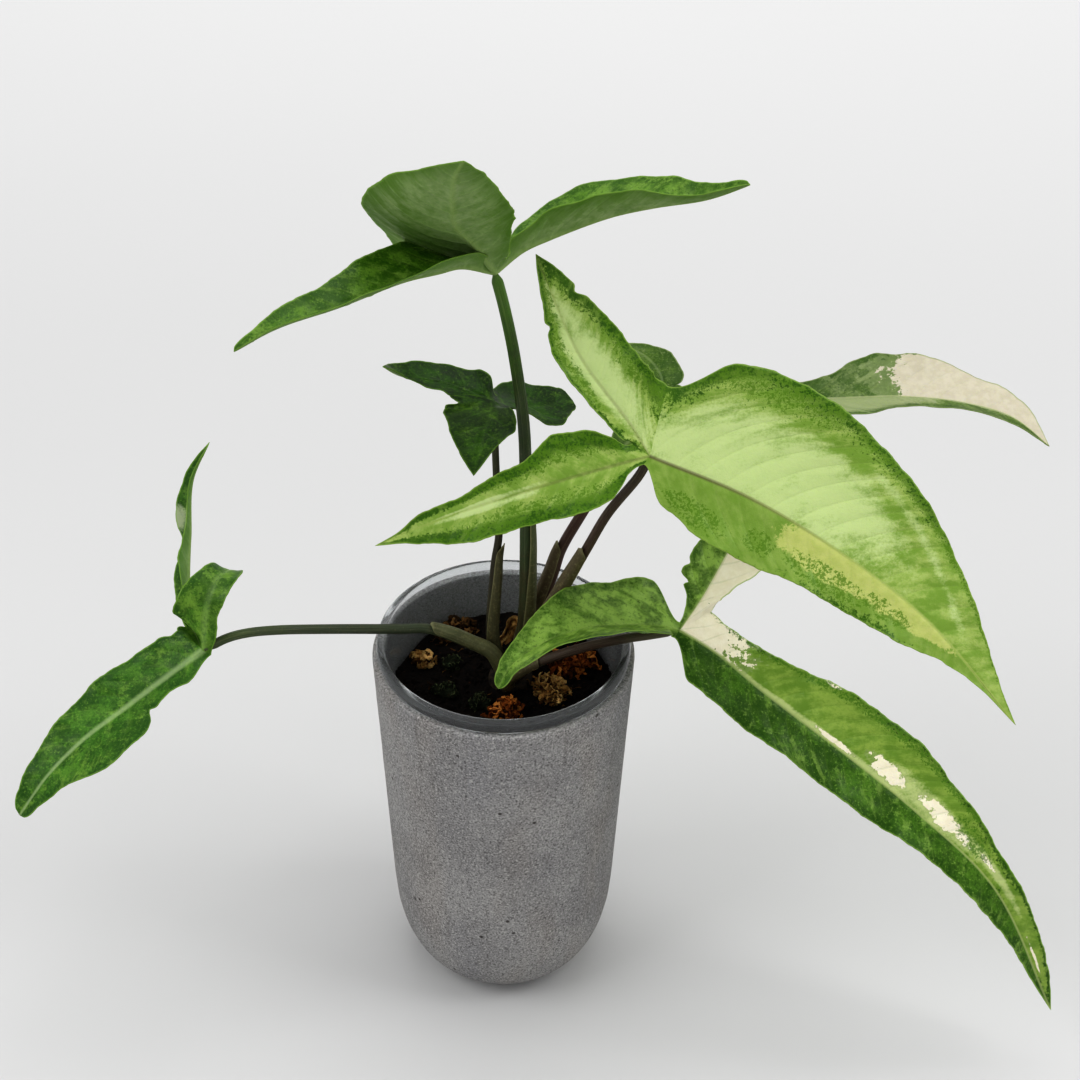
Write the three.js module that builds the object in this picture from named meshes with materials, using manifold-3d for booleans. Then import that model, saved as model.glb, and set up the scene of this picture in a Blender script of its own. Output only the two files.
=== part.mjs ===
// Potted climbing aroid: six three-lobed leaves on slender petioles, rooted in a clear grow cup
// that hangs by its bead on the rim of a sand-textured cover pot.
// Millimetres, +Z up. The origin is the centre of the pot's foot, on the surface it stands on.
// The plant faces -Y, and +X is to the right of a viewer who stands there.

import * as THREE from 'three';
import { mergeVertices } from 'three/addons/utils/BufferGeometryUtils.js';
import Module from 'manifold-3d';

const wasm = await Module();
wasm.setup();

// Driving dimensions

const GAP = 0.3; // left between pieces that touch

const POT_HEIGHT = 157;
const POT_RIM_RADIUS = 50;
const POT_FOOT_RADIUS = 18;
const POT_WALL = 4;
const POT_FLOOR = 9;
const TURNED_SIDES = 40; // of the pot, the cup and the mix

const CUP_RIM_RADIUS = 45.6; // outside of the wall, level with the pot's rim
const CUP_FOOT_RADIUS = 34;
const CUP_FOOT_HEIGHT = 42; // the cup hangs clear of the pot's floor
const CUP_WALL = 1;
const CUP_BEAD_RADIUS = 47.6;
const CUP_BEAD_HEIGHT = 6;
const DRAIN_RADIUS = 4;
const DRAIN_CIRCLE = 20;
const DRAIN_COUNT = 5;

const MIX_LEVEL = 136; // top of the potting mix at the pot's axis
const MIX_RISE = 0.09; // its slope up towards the back

const STEM_TOP = 138;
const STEM_RADIUS = 9;
const STEM_LENGTH = 26;
const STEM_CENTRE = new THREE.Vector2(2.8, 7.3);
const ROOT_COUNT = 5;
const ROOT_RADIUS = 1.5;

const PETIOLE_SIDES = 8;
const PETIOLE_STEP = 5.5; // length of one stretch of a petiole
const JOINT_ROOM = 2.6; // a petiole's end stays this far from the point where its midribs meet
const BLADE_THICKNESS = 0.8;
const LOBE_ROWS = 12;
const HALF_COLUMNS = 2;

// A lobe's half widths are given at these fractions of its length
const WIDTH_STATIONS = [0.08, 0.18, 0.3, 0.42, 0.55, 0.68, 0.8, 0.92];
const NECK = 0.12; // fraction of a lobe over which it widens from the sinus beside it
const WEB = 1.7; // a sinus ahead of the joint is webbed over this many times its own reach

// The leaves. joint is where the petiole meets the three midribs. Each lobe has its midrib from
// there to its tip, the directions its upper face looks from base to tip, the fold of its left and
// right half towards that face in degrees, and the half widths. Seen from above, lobes go round to
// the left, and sinus holds the notch after each lobe. sweep leans a half towards the tip.

const LEAVES = {
  top_leaf: {
    joint: [-3, 12, 315],
    petiole: [
      [5.5, 9, STEM_TOP - 2], [6.8, 9.6, 150], [8.1, 10, 167], [8.4, 12, 195], [8.2, 15, 216],
      [7.4, 19, 245], [4, 19, 275], [0.5, 16, 297],
    ],
    girth: [2.9, 2],
    sheath: { side: [1, 0.2, 0], reach: 0.42, depth: 1.2 },
    lobes: [
      {
        midrib: [[-9, 0, 332], [-15, -10, 345], [-16, -20, 358], [-15, -32, 375], [-12, -42, 386]],
        face: [[0.2, 0.77, 0.6], [0.2, 0.75, 0.6]],
        fold: [15, 5],
        sweep: [[0, 0, 10], [-15, 0, 0]],
        neck: [NECK, 0.06],
        left: [7, 10, 15, 19, 19, 16, 11, 5],
        right: [34, 35, 35, 33, 29, 22, 12, 4],
      },
      {
        midrib: [[6, 16, 321], [15, 19, 324], [36, 22, 331], [51, 23, 334], [68, 21, 338], [82, 18, 345]],
        face: [[0, 0.6, 0.8], [0, 0.45, 0.9], [0, 0.1, 1]],
        fold: [35, 30],
        left: [8, 15, 20, 21, 18, 13, 8, 4],
        right: [8, 12, 16, 17, 15, 11, 7, 4],
      },
      {
        midrib: [
          [-14, 4, 322], [-22, -3, 324], [-33, -10, 325], [-53, -24, 324], [-73, -36, 323], [-86, -42, 318],
        ],
        face: [[0, 0.5, 0.86], [0, 0.1, 1], [0, 0.1, 1]],
        fold: [30, 25],
        left: [8, 11, 13, 12, 11, 9, 6, 3],
        right: [20, 20, 18, 14, 12, 9, 6.5, 3],
      },
    ],
    sinus: [[1, 9, 322], [-4, 18, 315], [-6, 8.5, 319.5]],
  },
  small_leaf: {
    joint: [-3.7, 19, 257],
    petiole: [
      [-1, 9.5, STEM_TOP - 2], [-3.6, 8.6, 148], [-5.1, 8, 157], [-4.3, 10, 177], [-3.2, 12, 190],
      [-1.7, 14, 201], [-2.6, 17, 226], [-3.2, 18.5, 245],
    ],
    girth: [1.9, 1.2],
    sheath: { side: [1, -0.3, 0], reach: 0.5, depth: 1.6 },
    lobes: [
      {
        midrib: [[-5.8, 6, 256.5], [-8.2, -7, 255], [-10.3, -20, 253]],
        face: [[0, 0.1, 1]],
        fold: [10, 10],
        left: [6, 8.5, 10.5, 11, 8.5, 5.5, 3.5, 1.5],
        right: [16, 16.5, 16, 14, 11.5, 8.5, 5.5, 2.5],
      },
      {
        midrib: [[6, 30, 247.5], [16.3, 37, 243], [25.5, 42, 242]],
        face: [[0, -0.2, 0.98]],
        fold: [8, 8],
        left: [6, 8, 10, 12, 12.5, 12, 10, 7],
        right: [4, 4.5, 5, 7, 12, 13, 10, 6],
      },
      {
        midrib: [[-12, 22, 259], [-20.6, 25, 261], [-30, 26, 262.5], [-37, 24, 265.5], [-42.6, 20, 271.5]],
        face: [[0, -0.1, 1], [0, 0, 1]],
        fold: [15, 15],
        left: [8, 8, 8, 7.5, 7, 6, 4.5, 2.5],
        right: [9, 10, 9, 8.5, 8, 7, 5.5, 2.5],
      },
    ],
    sinus: [[2.2, 20.5, 252.5], [-2.5, 25, 255.5], [-16, 15, 259.5]],
  },
  lime_leaf: {
    joint: [50, -20, 261],
    petiole: [
      [4.5, 4.2, STEM_TOP - 2], [6.8, 3.4, 149], [10.1, 3, 159], [16.7, 1, 174], [23.8, -2, 192],
      [30.5, -6, 211], [37, -10, 229], [47, -16, 250],
    ],
    girth: [2.3, 1.6],
    sheath: { side: [-0.6, -0.6, 0.4], reach: 0.45, depth: 1.8 },
    lobes: [
      {
        midrib: [[84, -29, 250], [116, -41, 235], [145, -55, 217], [175, -77, 189]],
        face: [[0, -0.79, 0.61], [0.15, -0.8, 0.6]],
        fold: [4, 4],
        neck: [0.1, 0.06],
        left: [39, 43, 42, 38, 31, 21, 11.5, 4],
        right: [15, 20, 20.5, 17.5, 16, 13, 5.5, 1],
      },
      {
        midrib: [[44, -14, 269], [27, 0, 287], [19, 10, 300], [11, 22, 316]],
        face: [[0, -0.79, 0.61]],
        fold: [8, 8],
        left: [5, 6, 7, 7.5, 8, 6.5, 4, 2],
        right: [15, 16, 16.5, 16.5, 16, 13, 9.5, 4.5],
      },
      {
        midrib: [[39, -22, 259], [12, -27, 253], [-19, -33, 245], [-44, -39, 237]],
        face: [[0, -0.79, 0.61]],
        fold: [8, 8],
        left: [5, 11.5, 13, 12, 11.5, 11, 7.5, 2.5],
        right: [8, 14, 16, 10, 8, 5, 4.5, 1],
      },
    ],
    sinus: [[56, -5, 280], [44, -17, 264], [48, -22, 259]],
  },
  back_leaf: {
    joint: [59, 38, 243],
    petiole: [
      [6.5, 13.8, STEM_TOP - 2], [8, 15.8, 149], [10.2, 17, 157], [14.2, 18, 166], [18.7, 19.5, 178],
      [21.6, 21.5, 188], [28.9, 24.5, 202], [39.5, 30, 219], [50.4, 36, 234],
    ],
    girth: [2.5, 1.8],
    sheath: { side: [-0.8, -0.2, 0.5], reach: 0.42, depth: 1.5 },
    lobes: [
      {
        midrib: [
          [93, 34, 247], [121, 30, 251], [146, 28, 253], [166, 24, 253], [182, 18, 251], [195, 10, 244],
        ],
        face: [[0, 0, 1]],
        fold: [17, 17],
        left: [7, 8, 8, 11, 21, 18, 12.5, 6],
        right: [9, 12, 15, 18, 17, 9, 8.5, 4],
      },
      {
        midrib: [[58, 50, 248], [52, 62, 249], [42, 74, 246]],
        face: [[0, -0.1, 1]],
        fold: [6, 6],
        left: [4, 5, 6, 6, 6, 5, 4, 2],
        right: [5, 7, 8.5, 8.5, 8, 6, 4, 2],
      },
      {
        midrib: [[52, 28, 242], [44, 16, 240], [35, 5, 238]],
        face: [[0, 0, 1]],
        fold: [10, 10],
        left: [6, 8, 9, 9, 8, 6, 4, 2],
        right: [6, 8, 9, 9, 8, 6, 4, 2],
      },
    ],
    sinus: [[66, 44, 246], [52, 42, 244], [57, 31, 241]],
  },
  low_leaf: {
    joint: [65, -10, 175],
    petiole: [
      [1.5, 0.9, STEM_TOP - 2], [2.4, -3, 145], [6, -4.2, 149.5], [10.1, -4.5, 153], [19.4, -5, 158],
      [32.4, -6, 164], [43.4, -7, 168], [54.3, -8, 171],
    ],
    girth: [2.2, 1.7],
    sheath: { side: [0, -0.5, 0.8], reach: 0.3, depth: 1.2 },
    lobes: [
      {
        midrib: [
          [79, -14, 167], [96, -20, 154], [131, -34, 131], [154, -44, 115], [184, -56, 88], [213, -66, 29],
        ],
        face: [[0.2, -0.6, 0.78], [0.25, -0.75, 0.6], [0.3, -0.8, 0.5]],
        fold: [6, 6],
        neck: [0.08, 0.05],
        left: [11, 14, 20, 21, 16.5, 10, 8, 5.5],
        right: [16, 16, 15, 15, 11, 10, 6, 2.5],
      },
      {
        midrib: [[73, 0, 181], [83, 16, 189], [91, 28, 197], [103, 42, 205]],
        face: [[-0.2, -0.5, 0.85]],
        fold: [8, 8],
        left: [2.5, 5, 12, 12, 10.5, 9, 6, 3],
        right: [6, 7, 9, 13, 16, 14, 9, 4],
      },
      {
        midrib: [
          [55, -12, 179], [44, -14, 181], [28, -20, 184], [14, -26, 182], [3, -32, 177], [-2, -38, 171],
        ],
        face: [[0, 0.05, 1], [0, 0.05, 1], [0, 0, 1]],
        fold: [27, 27],
        left: [12, 19, 21, 16, 15.5, 14, 10, 4.5],
        right: [16, 19, 19, 18, 15, 11.5, 7, 3.5],
      },
    ],
    sinus: [[77, -2, 177], [65, -8, 177], [63, -12, 173]],
  },
  side_leaf: {
    joint: [-113, -3, 159],
    petiole: [
      [-0.6, 5, STEM_TOP - 2], [-1.9, 2.5, 146], [-5.5, 1.6, 154], [-12.7, 1, 159], [-27.9, -1, 168],
      [-38.6, -2.5, 169.2], [-63.7, -5, 171.3], [-85, -3.5, 169.5], [-96.5, -0.5, 165.5], [-105, 2, 160.5],
    ],
    girth: [2.2, 1.7],
    sheath: { side: [0, -0.2, 1], reach: 0.28, depth: 1.6 },
    lobes: [
      {
        midrib: [[-120, 16, 161], [-122, 34, 168], [-122, 48, 177], [-121, 60, 192], [-114, 66, 206]],
        face: [[-0.6, -0.3, 0.8], [-0.9, -0.3, 0.3], [-0.9, -0.3, 0.3]],
        fold: [50, 50],
        left: [2.5, 3, 4.5, 5.5, 2.5, 6.5, 4, 2],
        right: [3, 5, 6, 7, 5, 2.5, 2, 1],
      },
      {
        midrib: [[-130, -12, 150], [-143, -22, 145], [-155, -32, 141], [-168, -42, 132], [-179, -50, 119]],
        face: [[-0.1, -0.3, 0.95], [-0.2, -0.3, 0.9]],
        fold: [12, 12],
        left: [9, 7.5, 10, 17, 19, 16, 10, 5.5],
        right: [14, 14.5, 16, 15.5, 14, 11.5, 9.5, 6],
      },
      {
        midrib: [[-112, 2, 169], [-110, 6, 178], [-107, 12, 182], [-104, 19, 180], [-103, 25, 174]],
        face: [[-0.1, -0.9, 0.3], [0, -0.6, 0.8], [0, 0, 1]],
        fold: [10, 10],
        left: [9, 11, 12, 11, 9, 7, 6, 3],
        right: [5, 5, 5, 6, 7, 7, 6, 3],
      },
    ],
    sinus: [[-123, 4, 163], [-110, -3, 157], [-115, 5, 166]],
  },
};

// Loose pieces on the mix: centre x and y, size in x, y and z, turn about z in degrees, lumps round it
const LITTER = {
  front_moss_tuft: { at: [0.6, -12], size: [13, 9, 8], turn: 20, lumps: 5 },
  right_moss_tuft: { at: [18, -2.5], size: [13, 11, 9], turn: -35, lumps: 4 },
  far_moss_tuft: { at: [28, 13], size: [19, 9, 8], turn: 12, lumps: 5 },
  left_moss_tuft: { at: [-31, 16], size: [12, 9, 7], turn: -50, lumps: 4 },
  back_moss_tuft: { at: [-19, 30], size: [19, 8, 6], turn: 15, lumps: 5 },
  dry_bract: { at: [1.5, 24], size: [4, 11, 8], turn: -30, lumps: 2 },
  green_moss_1: { at: [-9, -7], size: [10, 8, 5], turn: 10, lumps: 3 },
  green_moss_2: { at: [-22, -1], size: [12, 9, 5], turn: -20, lumps: 3 },
  green_moss_3: { at: [-20, 14], size: [9, 8, 4], turn: 40, lumps: 3 },
};

// Colours, roughness and metalness

const FINISHES = {
  pot: { color: 0x8b898c, roughness: 0.95 },
  cup: { color: 0xe9edf0, roughness: 0.12, transparent: true, opacity: 0.3 },
  mix: { color: 0x1d1711, roughness: 1 },
  root: { color: 0x8a7a5c, roughness: 0.8 },
  petiole: { color: 0x34391f, roughness: 0.5 },
  dark_leaf: { color: 0x2f5c1f, roughness: 0.45 },
  lime_leaf: { color: 0x9dbb52, roughness: 0.45 },
  cream_leaf: { color: 0x8fa85c, roughness: 0.45 },
  dry_moss: { color: 0xa8662c, roughness: 1 },
  green_moss: { color: 0x4a5233, roughness: 1 },
};

const BLADE_FINISH = {
  top_leaf: 'dark_leaf',
  small_leaf: 'dark_leaf',
  lime_leaf: 'lime_leaf',
  back_leaf: 'cream_leaf',
  low_leaf: 'cream_leaf',
  side_leaf: 'dark_leaf',
};

const materials = {};
for (const [name, look] of Object.entries(FINISHES)) {
  materials[name] = { metalness: 0, ...look };
}

const object = new THREE.Group();

function addPart(name, geometry, finish) {
  const part = new THREE.Mesh(geometry, new THREE.MeshStandardMaterial(materials[finish]));
  part.name = name;
  object.add(part);
}

// Small helpers

const vector = (point) => new THREE.Vector3(...point);

function smoothstep(low, high, x) {
  const t = THREE.MathUtils.clamp((x - low) / (high - low), 0, 1);
  return t * t * (3 - 2 * t);
}

// Value at u from 0 to 1 of a list of numbers spread evenly over that range
function along(values, u) {
  const x = u * (values.length - 1);
  const i = Math.min(Math.floor(x), values.length - 2);
  if (values.length === 1) return values[0];
  return THREE.MathUtils.lerp(values[i], values[i + 1], x - i);
}

function directionAlong(directions, u) {
  const component = (k) => along(directions.map((direction) => direction[k]), u);
  return new THREE.Vector3(component(0), component(1), component(2));
}

function welded(geometry) {
  const bare = new THREE.BufferGeometry();
  bare.setAttribute('position', geometry.getAttribute('position').clone());
  if (geometry.index) bare.setIndex(geometry.index.clone());
  const merged = mergeVertices(bare, 1e-4);
  const kept = [];
  const index = merged.index.array;
  for (let i = 0; i < index.length; i += 3) {
    const [a, b, c] = index.slice(i, i + 3);
    if (a !== b && b !== c && c !== a) kept.push(a, b, c);
  }
  merged.setIndex(kept);
  return merged;
}

function toSolid(geometry) {
  const merged = welded(geometry);
  return new wasm.Manifold(new wasm.Mesh({
    numProp: 3,
    vertProperties: new Float32Array(merged.getAttribute('position').array),
    triVerts: new Uint32Array(merged.index.array),
  }));
}

function toGeometry(solid) {
  const mesh = solid.getMesh();
  const geometry = new THREE.BufferGeometry();
  geometry.setAttribute('position', new THREE.BufferAttribute(mesh.vertProperties, 3));
  geometry.setIndex(new THREE.BufferAttribute(mesh.triVerts, 1));
  geometry.computeVertexNormals();
  return geometry;
}

// The largest of the bodies that a cut leaves
function largestBody(solid) {
  return solid.decompose().reduce((best, body) => (body.volume() > best.volume() ? body : best));
}

// A lathe turns about +Y in its own frame, so it is stood up on +Z
function turned(profile, sides) {
  const points = profile.map(([radius, height]) => new THREE.Vector2(radius, height));
  return new THREE.LatheGeometry(points, sides).rotateX(Math.PI / 2);
}

function moveVertices(geometry, move) {
  const position = geometry.getAttribute('position');
  const point = new THREE.Vector3();
  for (let i = 0; i < position.count; i += 1) {
    point.fromBufferAttribute(position, i);
    move(point);
    position.setXYZ(i, point.x, point.y, point.z);
  }
  return geometry;
}

function verticesOf(geometry, attribute) {
  const values = geometry.getAttribute(attribute);
  return Array.from({ length: values.count }, (_, i) => new THREE.Vector3().fromBufferAttribute(values, i));
}

// Cover pot

function coverPot() {
  const outside = [
    [POT_FOOT_RADIUS, 0], [25, 1.2], [31, 4.5], [36.5, 11], [40.5, 20], [43, 31], [44.2, 44],
    [POT_RIM_RADIUS - 0.5, POT_HEIGHT - 1], [POT_RIM_RADIUS - 1, POT_HEIGHT],
  ];
  const inside = [
    [POT_RIM_RADIUS - POT_WALL, POT_HEIGHT], [44.2 - POT_WALL, 44], [38.6, 29], [35, 18],
    [28, 11.5], [20, POT_FLOOR],
  ];
  return turned([[0, 0], ...outside, ...inside, [0, POT_FLOOR]], TURNED_SIDES);
}

// Grow cup

const CUP_SLOPE = (CUP_RIM_RADIUS - CUP_FOOT_RADIUS) / (POT_HEIGHT - CUP_FOOT_HEIGHT);
const cupOutside = (z) => CUP_FOOT_RADIUS + CUP_SLOPE * (z - CUP_FOOT_HEIGHT);

function growCup() {
  const beadLow = POT_HEIGHT + GAP;
  const beadHigh = beadLow + CUP_BEAD_HEIGHT;
  const beadInside = cupOutside(beadLow) - CUP_WALL;
  const floorTop = CUP_FOOT_HEIGHT + CUP_WALL;
  const cup = toSolid(turned([
    [0, CUP_FOOT_HEIGHT], [CUP_FOOT_RADIUS, CUP_FOOT_HEIGHT], [cupOutside(beadLow), beadLow],
    [CUP_BEAD_RADIUS, beadLow], [CUP_BEAD_RADIUS + 0.3, beadLow + 3],
    [CUP_BEAD_RADIUS - 0.4, beadHigh - 0.4], [CUP_BEAD_RADIUS - 1.6, beadHigh],
    [beadInside + 0.3, beadHigh - 1], [beadInside, beadLow + 2],
    [cupOutside(floorTop) - CUP_WALL, floorTop], [0, floorTop],
  ], TURNED_SIDES));
  const drains = [];
  for (let i = 0; i < DRAIN_COUNT; i += 1) {
    const angle = (2 * Math.PI * i) / DRAIN_COUNT;
    const drain = new THREE.CylinderGeometry(DRAIN_RADIUS, DRAIN_RADIUS, 4 * CUP_WALL, 12);
    drain.rotateX(Math.PI / 2);
    drain.translate(DRAIN_CIRCLE * Math.cos(angle), DRAIN_CIRCLE * Math.sin(angle), CUP_FOOT_HEIGHT);
    drains.push(toSolid(drain));
  }
  return toGeometry(drains.reduce((body, drain) => body.subtract(drain), cup));
}

// Potting mix, stem and roots

const mixHeight = (x, y) => {
  const ripple = 0.5 * Math.sin(0.17 * x + 1) * Math.cos(0.15 * y) + 0.4 * Math.sin(0.11 * (x + y));
  return MIX_LEVEL + MIX_RISE * y + ripple;
};

function curveThrough(points) {
  return new THREE.CatmullRomCurve3(points.map(vector));
}

function roundSection(sides) {
  const corners = [];
  for (let i = 0; i < sides; i += 1) {
    const angle = (2 * Math.PI * i) / sides;
    corners.push(new THREE.Vector2(Math.cos(angle), Math.sin(angle)));
  }
  return new THREE.Shape(corners);
}

// A tube along a curve. radiusAt gives its radius at u from 0 to 1, and stretch may push the
// skin out to one side: it gets u and the skin's unit offset from the centre line.
function tubeAlong(curve, sides, steps, radiusAt, stretch = null) {
  const geometry = new THREE.ExtrudeGeometry(
    roundSection(sides),
    { steps, extrudePath: curve, bevelEnabled: false },
  );
  const centres = curve.getSpacedPoints(steps);
  return moveVertices(geometry, (point) => {
    let nearest = 0;
    centres.forEach((centre, i) => {
      if (centre.distanceTo(point) < centres[nearest].distanceTo(point)) nearest = i;
    });
    const u = nearest / steps;
    const offset = point.clone().sub(centres[nearest]);
    point.copy(centres[nearest]).addScaledVector(offset, radiusAt(u));
    if (stretch) point.add(stretch(u, offset));
  });
}

function stemAndRoots(grow) {
  const stem = toSolid(turned([
    [0, STEM_TOP - STEM_LENGTH - grow], [3.5 + grow, STEM_TOP - STEM_LENGTH - grow],
    [6 + grow, STEM_TOP - 18], [STEM_RADIUS - 1 + grow, STEM_TOP - 8], [STEM_RADIUS + grow, STEM_TOP - 2],
    [STEM_RADIUS - 0.6 + grow, STEM_TOP + 10 * grow], [0, STEM_TOP + 10 * grow],
  ], 16).translate(STEM_CENTRE.x, STEM_CENTRE.y, 0));
  const roots = [];
  for (let i = 0; i < ROOT_COUNT; i += 1) {
    const angle = (2 * Math.PI * (i + 0.3)) / ROOT_COUNT;
    const reach = (radius, height) => [
      STEM_CENTRE.x + radius * Math.cos(angle + 0.012 * radius),
      STEM_CENTRE.y + radius * Math.sin(angle + 0.012 * radius),
      height,
    ];
    const depth = 62 + 5 * Math.sin(2.4 * i);
    const curve = curveThrough([
      reach(2, STEM_TOP - 16), reach(12, STEM_TOP - 24), reach(20, STEM_TOP - 42),
      reach(22, STEM_TOP - depth - 2 * grow),
    ]);
    roots.push(toSolid(tubeAlong(curve, 6, 9, (u) => ROOT_RADIUS * (1 - 0.6 * u) + grow)));
  }
  return roots.reduce((body, root) => body.add(root), stem);
}

function growingMedium() {
  const wall = CUP_WALL + GAP;
  const bottom = CUP_FOOT_HEIGHT + wall;
  const edge = cupOutside(MIX_LEVEL - 4) - wall - 0.2;
  const profile = [[0, bottom], [cupOutside(bottom) - wall, bottom], [edge, MIX_LEVEL - 4]];
  for (const radius of [edge, 34, 25, 16, 8, 0]) {
    profile.push([radius, MIX_LEVEL]);
  }
  const block = turned(profile, TURNED_SIDES);
  moveVertices(block, (point) => {
    if (point.z > MIX_LEVEL - 0.1) point.z = mixHeight(point.x, point.y);
  });
  return toGeometry(largestBody(toSolid(block).subtract(stemAndRoots(GAP))));
}

// Leaf blades

// Monotone cubic curve through the half widths, from the lobe's base to its tip
function halfWidth(widths, u) {
  const xs = [0, ...WIDTH_STATIONS, 1];
  const ys = [0.8 * widths[0], ...widths, 0];
  const slope = (i) => (ys[i + 1] - ys[i]) / (xs[i + 1] - xs[i]);
  const tangent = (i) => {
    if (i === 0) return slope(0);
    if (i === xs.length - 1) return slope(i - 1);
    const before = slope(i - 1);
    const after = slope(i);
    return before * after > 0 ? (2 * before * after) / (before + after) : 0;
  };
  let i = 0;
  while (i < xs.length - 2 && u >= xs[i + 1]) i += 1;
  const span = xs[i + 1] - xs[i];
  const t = (u - xs[i]) / span;
  const square = t * t;
  const cube = square * t;
  return (2 * cube - 3 * square + 1) * ys[i] + (cube - 2 * square + t) * span * tangent(i)
    + (3 * square - 2 * cube) * ys[i + 1] + (cube - square) * span * tangent(i + 1);
}

// Rows of points of one half of a lobe, from its midrib to its margin
function halfLobe(leaf, index, side) {
  const lobe = leaf.lobes[index];
  const curve = curveThrough([leaf.joint, ...lobe.midrib]);
  const widths = side === 0 ? lobe.left : lobe.right;
  const notch = vector(leaf.sinus[side === 0 ? index : (index + 2) % 3]).sub(vector(leaf.joint));
  const root = curve.getTangentAt(0);
  const ahead = Math.max(0, notch.dot(root));
  const beside = notch.addScaledVector(root, -ahead);
  const neck = lobe.neck ? lobe.neck[side] : NECK;
  const web = Math.max(neck, (WEB * ahead) / curve.getLength());
  const fold = THREE.MathUtils.degToRad(lobe.fold[side]);
  const rows = [];
  for (let i = 0; i <= LOBE_ROWS; i += 1) {
    const u = i / LOBE_ROWS;
    const point = curve.getPointAt(u);
    const tangent = curve.getTangentAt(u);
    const normal = directionAlong(lobe.face, u);
    normal.addScaledVector(tangent, -normal.dot(tangent)).normalize();
    const outward = normal.clone().cross(tangent).multiplyScalar(side === 0 ? 1 : -1);
    const across = outward.multiplyScalar(Math.cos(fold)).addScaledVector(normal, Math.sin(fold));
    if (lobe.sweep) {
      const lean = THREE.MathUtils.degToRad(along(lobe.sweep[side], u));
      across.multiplyScalar(Math.cos(lean)).addScaledVector(tangent, Math.sin(lean));
    }
    const reach = beside.clone().lerp(across.multiplyScalar(halfWidth(widths, u)), smoothstep(0, neck, u));
    reach.addScaledVector(root, ahead * (1 - smoothstep(0, web, u)));
    const row = [];
    for (let j = 0; j <= HALF_COLUMNS; j += 1) {
      row.push(point.clone().addScaledVector(reach, j / HALF_COLUMNS));
    }
    rows.push(row);
  }
  return rows;
}

// Triangles of a leaf's middle surface, wound so that they face the upper side
function middleSurface(leaf) {
  const points = [];
  const triangle = (a, b, c) => points.push(...a.toArray(), ...b.toArray(), ...c.toArray());
  for (let index = 0; index < 3; index += 1) {
    for (const side of [0, 1]) {
      const rows = halfLobe(leaf, index, side);
      for (let i = 0; i < LOBE_ROWS; i += 1) {
        for (let j = 0; j < HALF_COLUMNS; j += 1) {
          const corners = [rows[i][j], rows[i + 1][j], rows[i + 1][j + 1], rows[i][j + 1]];
          if (side === 1) corners.reverse();
          triangle(corners[0], corners[1], corners[2]);
          triangle(corners[0], corners[2], corners[3]);
        }
      }
    }
  }
  const surface = new THREE.BufferGeometry();
  surface.setAttribute('position', new THREE.Float32BufferAttribute(points, 3));
  const merged = welded(surface);
  merged.computeVertexNormals();
  return merged;
}

// One triangle of the middle surface with its thickness: a prism that meets its neighbours face to
// face, because each of its walls is split along the diagonal from the corner with the lower number
function prism(corners, upper, lower) {
  const [a, b, c] = corners;
  const points = [];
  for (const side of [upper, lower]) {
    for (const corner of corners) points.push(...side[corner].toArray());
  }
  const faces = [0, 1, 2, 5, 4, 3];
  for (const [from, to, low, high] of [[0, 1, a, b], [1, 2, b, c], [2, 0, c, a]]) {
    if (low < high) faces.push(to, from, to + 3, from, from + 3, to + 3);
    else faces.push(to, from, from + 3, to, from + 3, to + 3);
  }
  return new wasm.Manifold(new wasm.Mesh({
    numProp: 3,
    vertProperties: new Float32Array(points),
    triVerts: new Uint32Array(faces),
  }));
}

// The blade of the given thickness about its middle surface, joined where its lobes overlap. A
// triangle that is twisted where a neck folds under its neighbours is left out, as they cover it.
function blade(leaf, thickness) {
  const surface = middleSurface(leaf);
  const points = verticesOf(surface, 'position');
  const normals = verticesOf(surface, 'normal');
  const shifted = (shift) => points.map((point, i) => point.clone().addScaledVector(normals[i], shift));
  const upper = shifted(thickness / 2);
  const lower = shifted(-thickness / 2);
  const index = surface.index.array;
  const prisms = [];
  for (let i = 0; i < index.length; i += 3) {
    const corners = [...index.slice(i, i + 3)];
    const face = new THREE.Vector3();
    new THREE.Triangle(...corners.map((corner) => points[corner])).getNormal(face);
    if (corners.every((corner) => face.dot(normals[corner]) > 0)) {
      prisms.push(prism(corners, upper, lower));
    }
  }
  return largestBody(wasm.Manifold.union(prisms));
}

// Petioles: each thickens towards its base, where its sheath stands out on one side

function petiole(leaf) {
  const curve = curveThrough([...leaf.petiole, leaf.joint]);
  const steps = Math.round(curve.getLength() / PETIOLE_STEP);
  const { side, reach, depth } = leaf.sheath;
  const sheathSide = vector(side).normalize();
  const [low, high] = leaf.girth;
  const foot = (u) => 0.8 + 0.2 * smoothstep(0, 0.08, u);
  const radiusAt = (u) => foot(u) * THREE.MathUtils.lerp(low, high, Math.sqrt(u));
  const stretch = (u, offset) => {
    const ridge = depth * smoothstep(0, 0.1, u) * (1 - smoothstep(0.75 * reach, reach, u));
    return sheathSide.clone().multiplyScalar(ridge * Math.max(0, offset.dot(sheathSide)));
  };
  const stalk = toSolid(tubeAlong(curve, PETIOLE_SIDES, steps, radiusAt, stretch));
  const standing = stalk.trimByPlane([0, 0, 1], STEM_TOP + GAP);
  const joint = new THREE.IcosahedronGeometry(JOINT_ROOM, 2).translate(...leaf.joint);
  const trimmed = standing.subtract(blade(leaf, BLADE_THICKNESS + 5 * GAP)).subtract(toSolid(joint));
  return toGeometry(largestBody(trimmed));
}

// Loose moss: a lumpy ball, flattened where it lies on the mix

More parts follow.
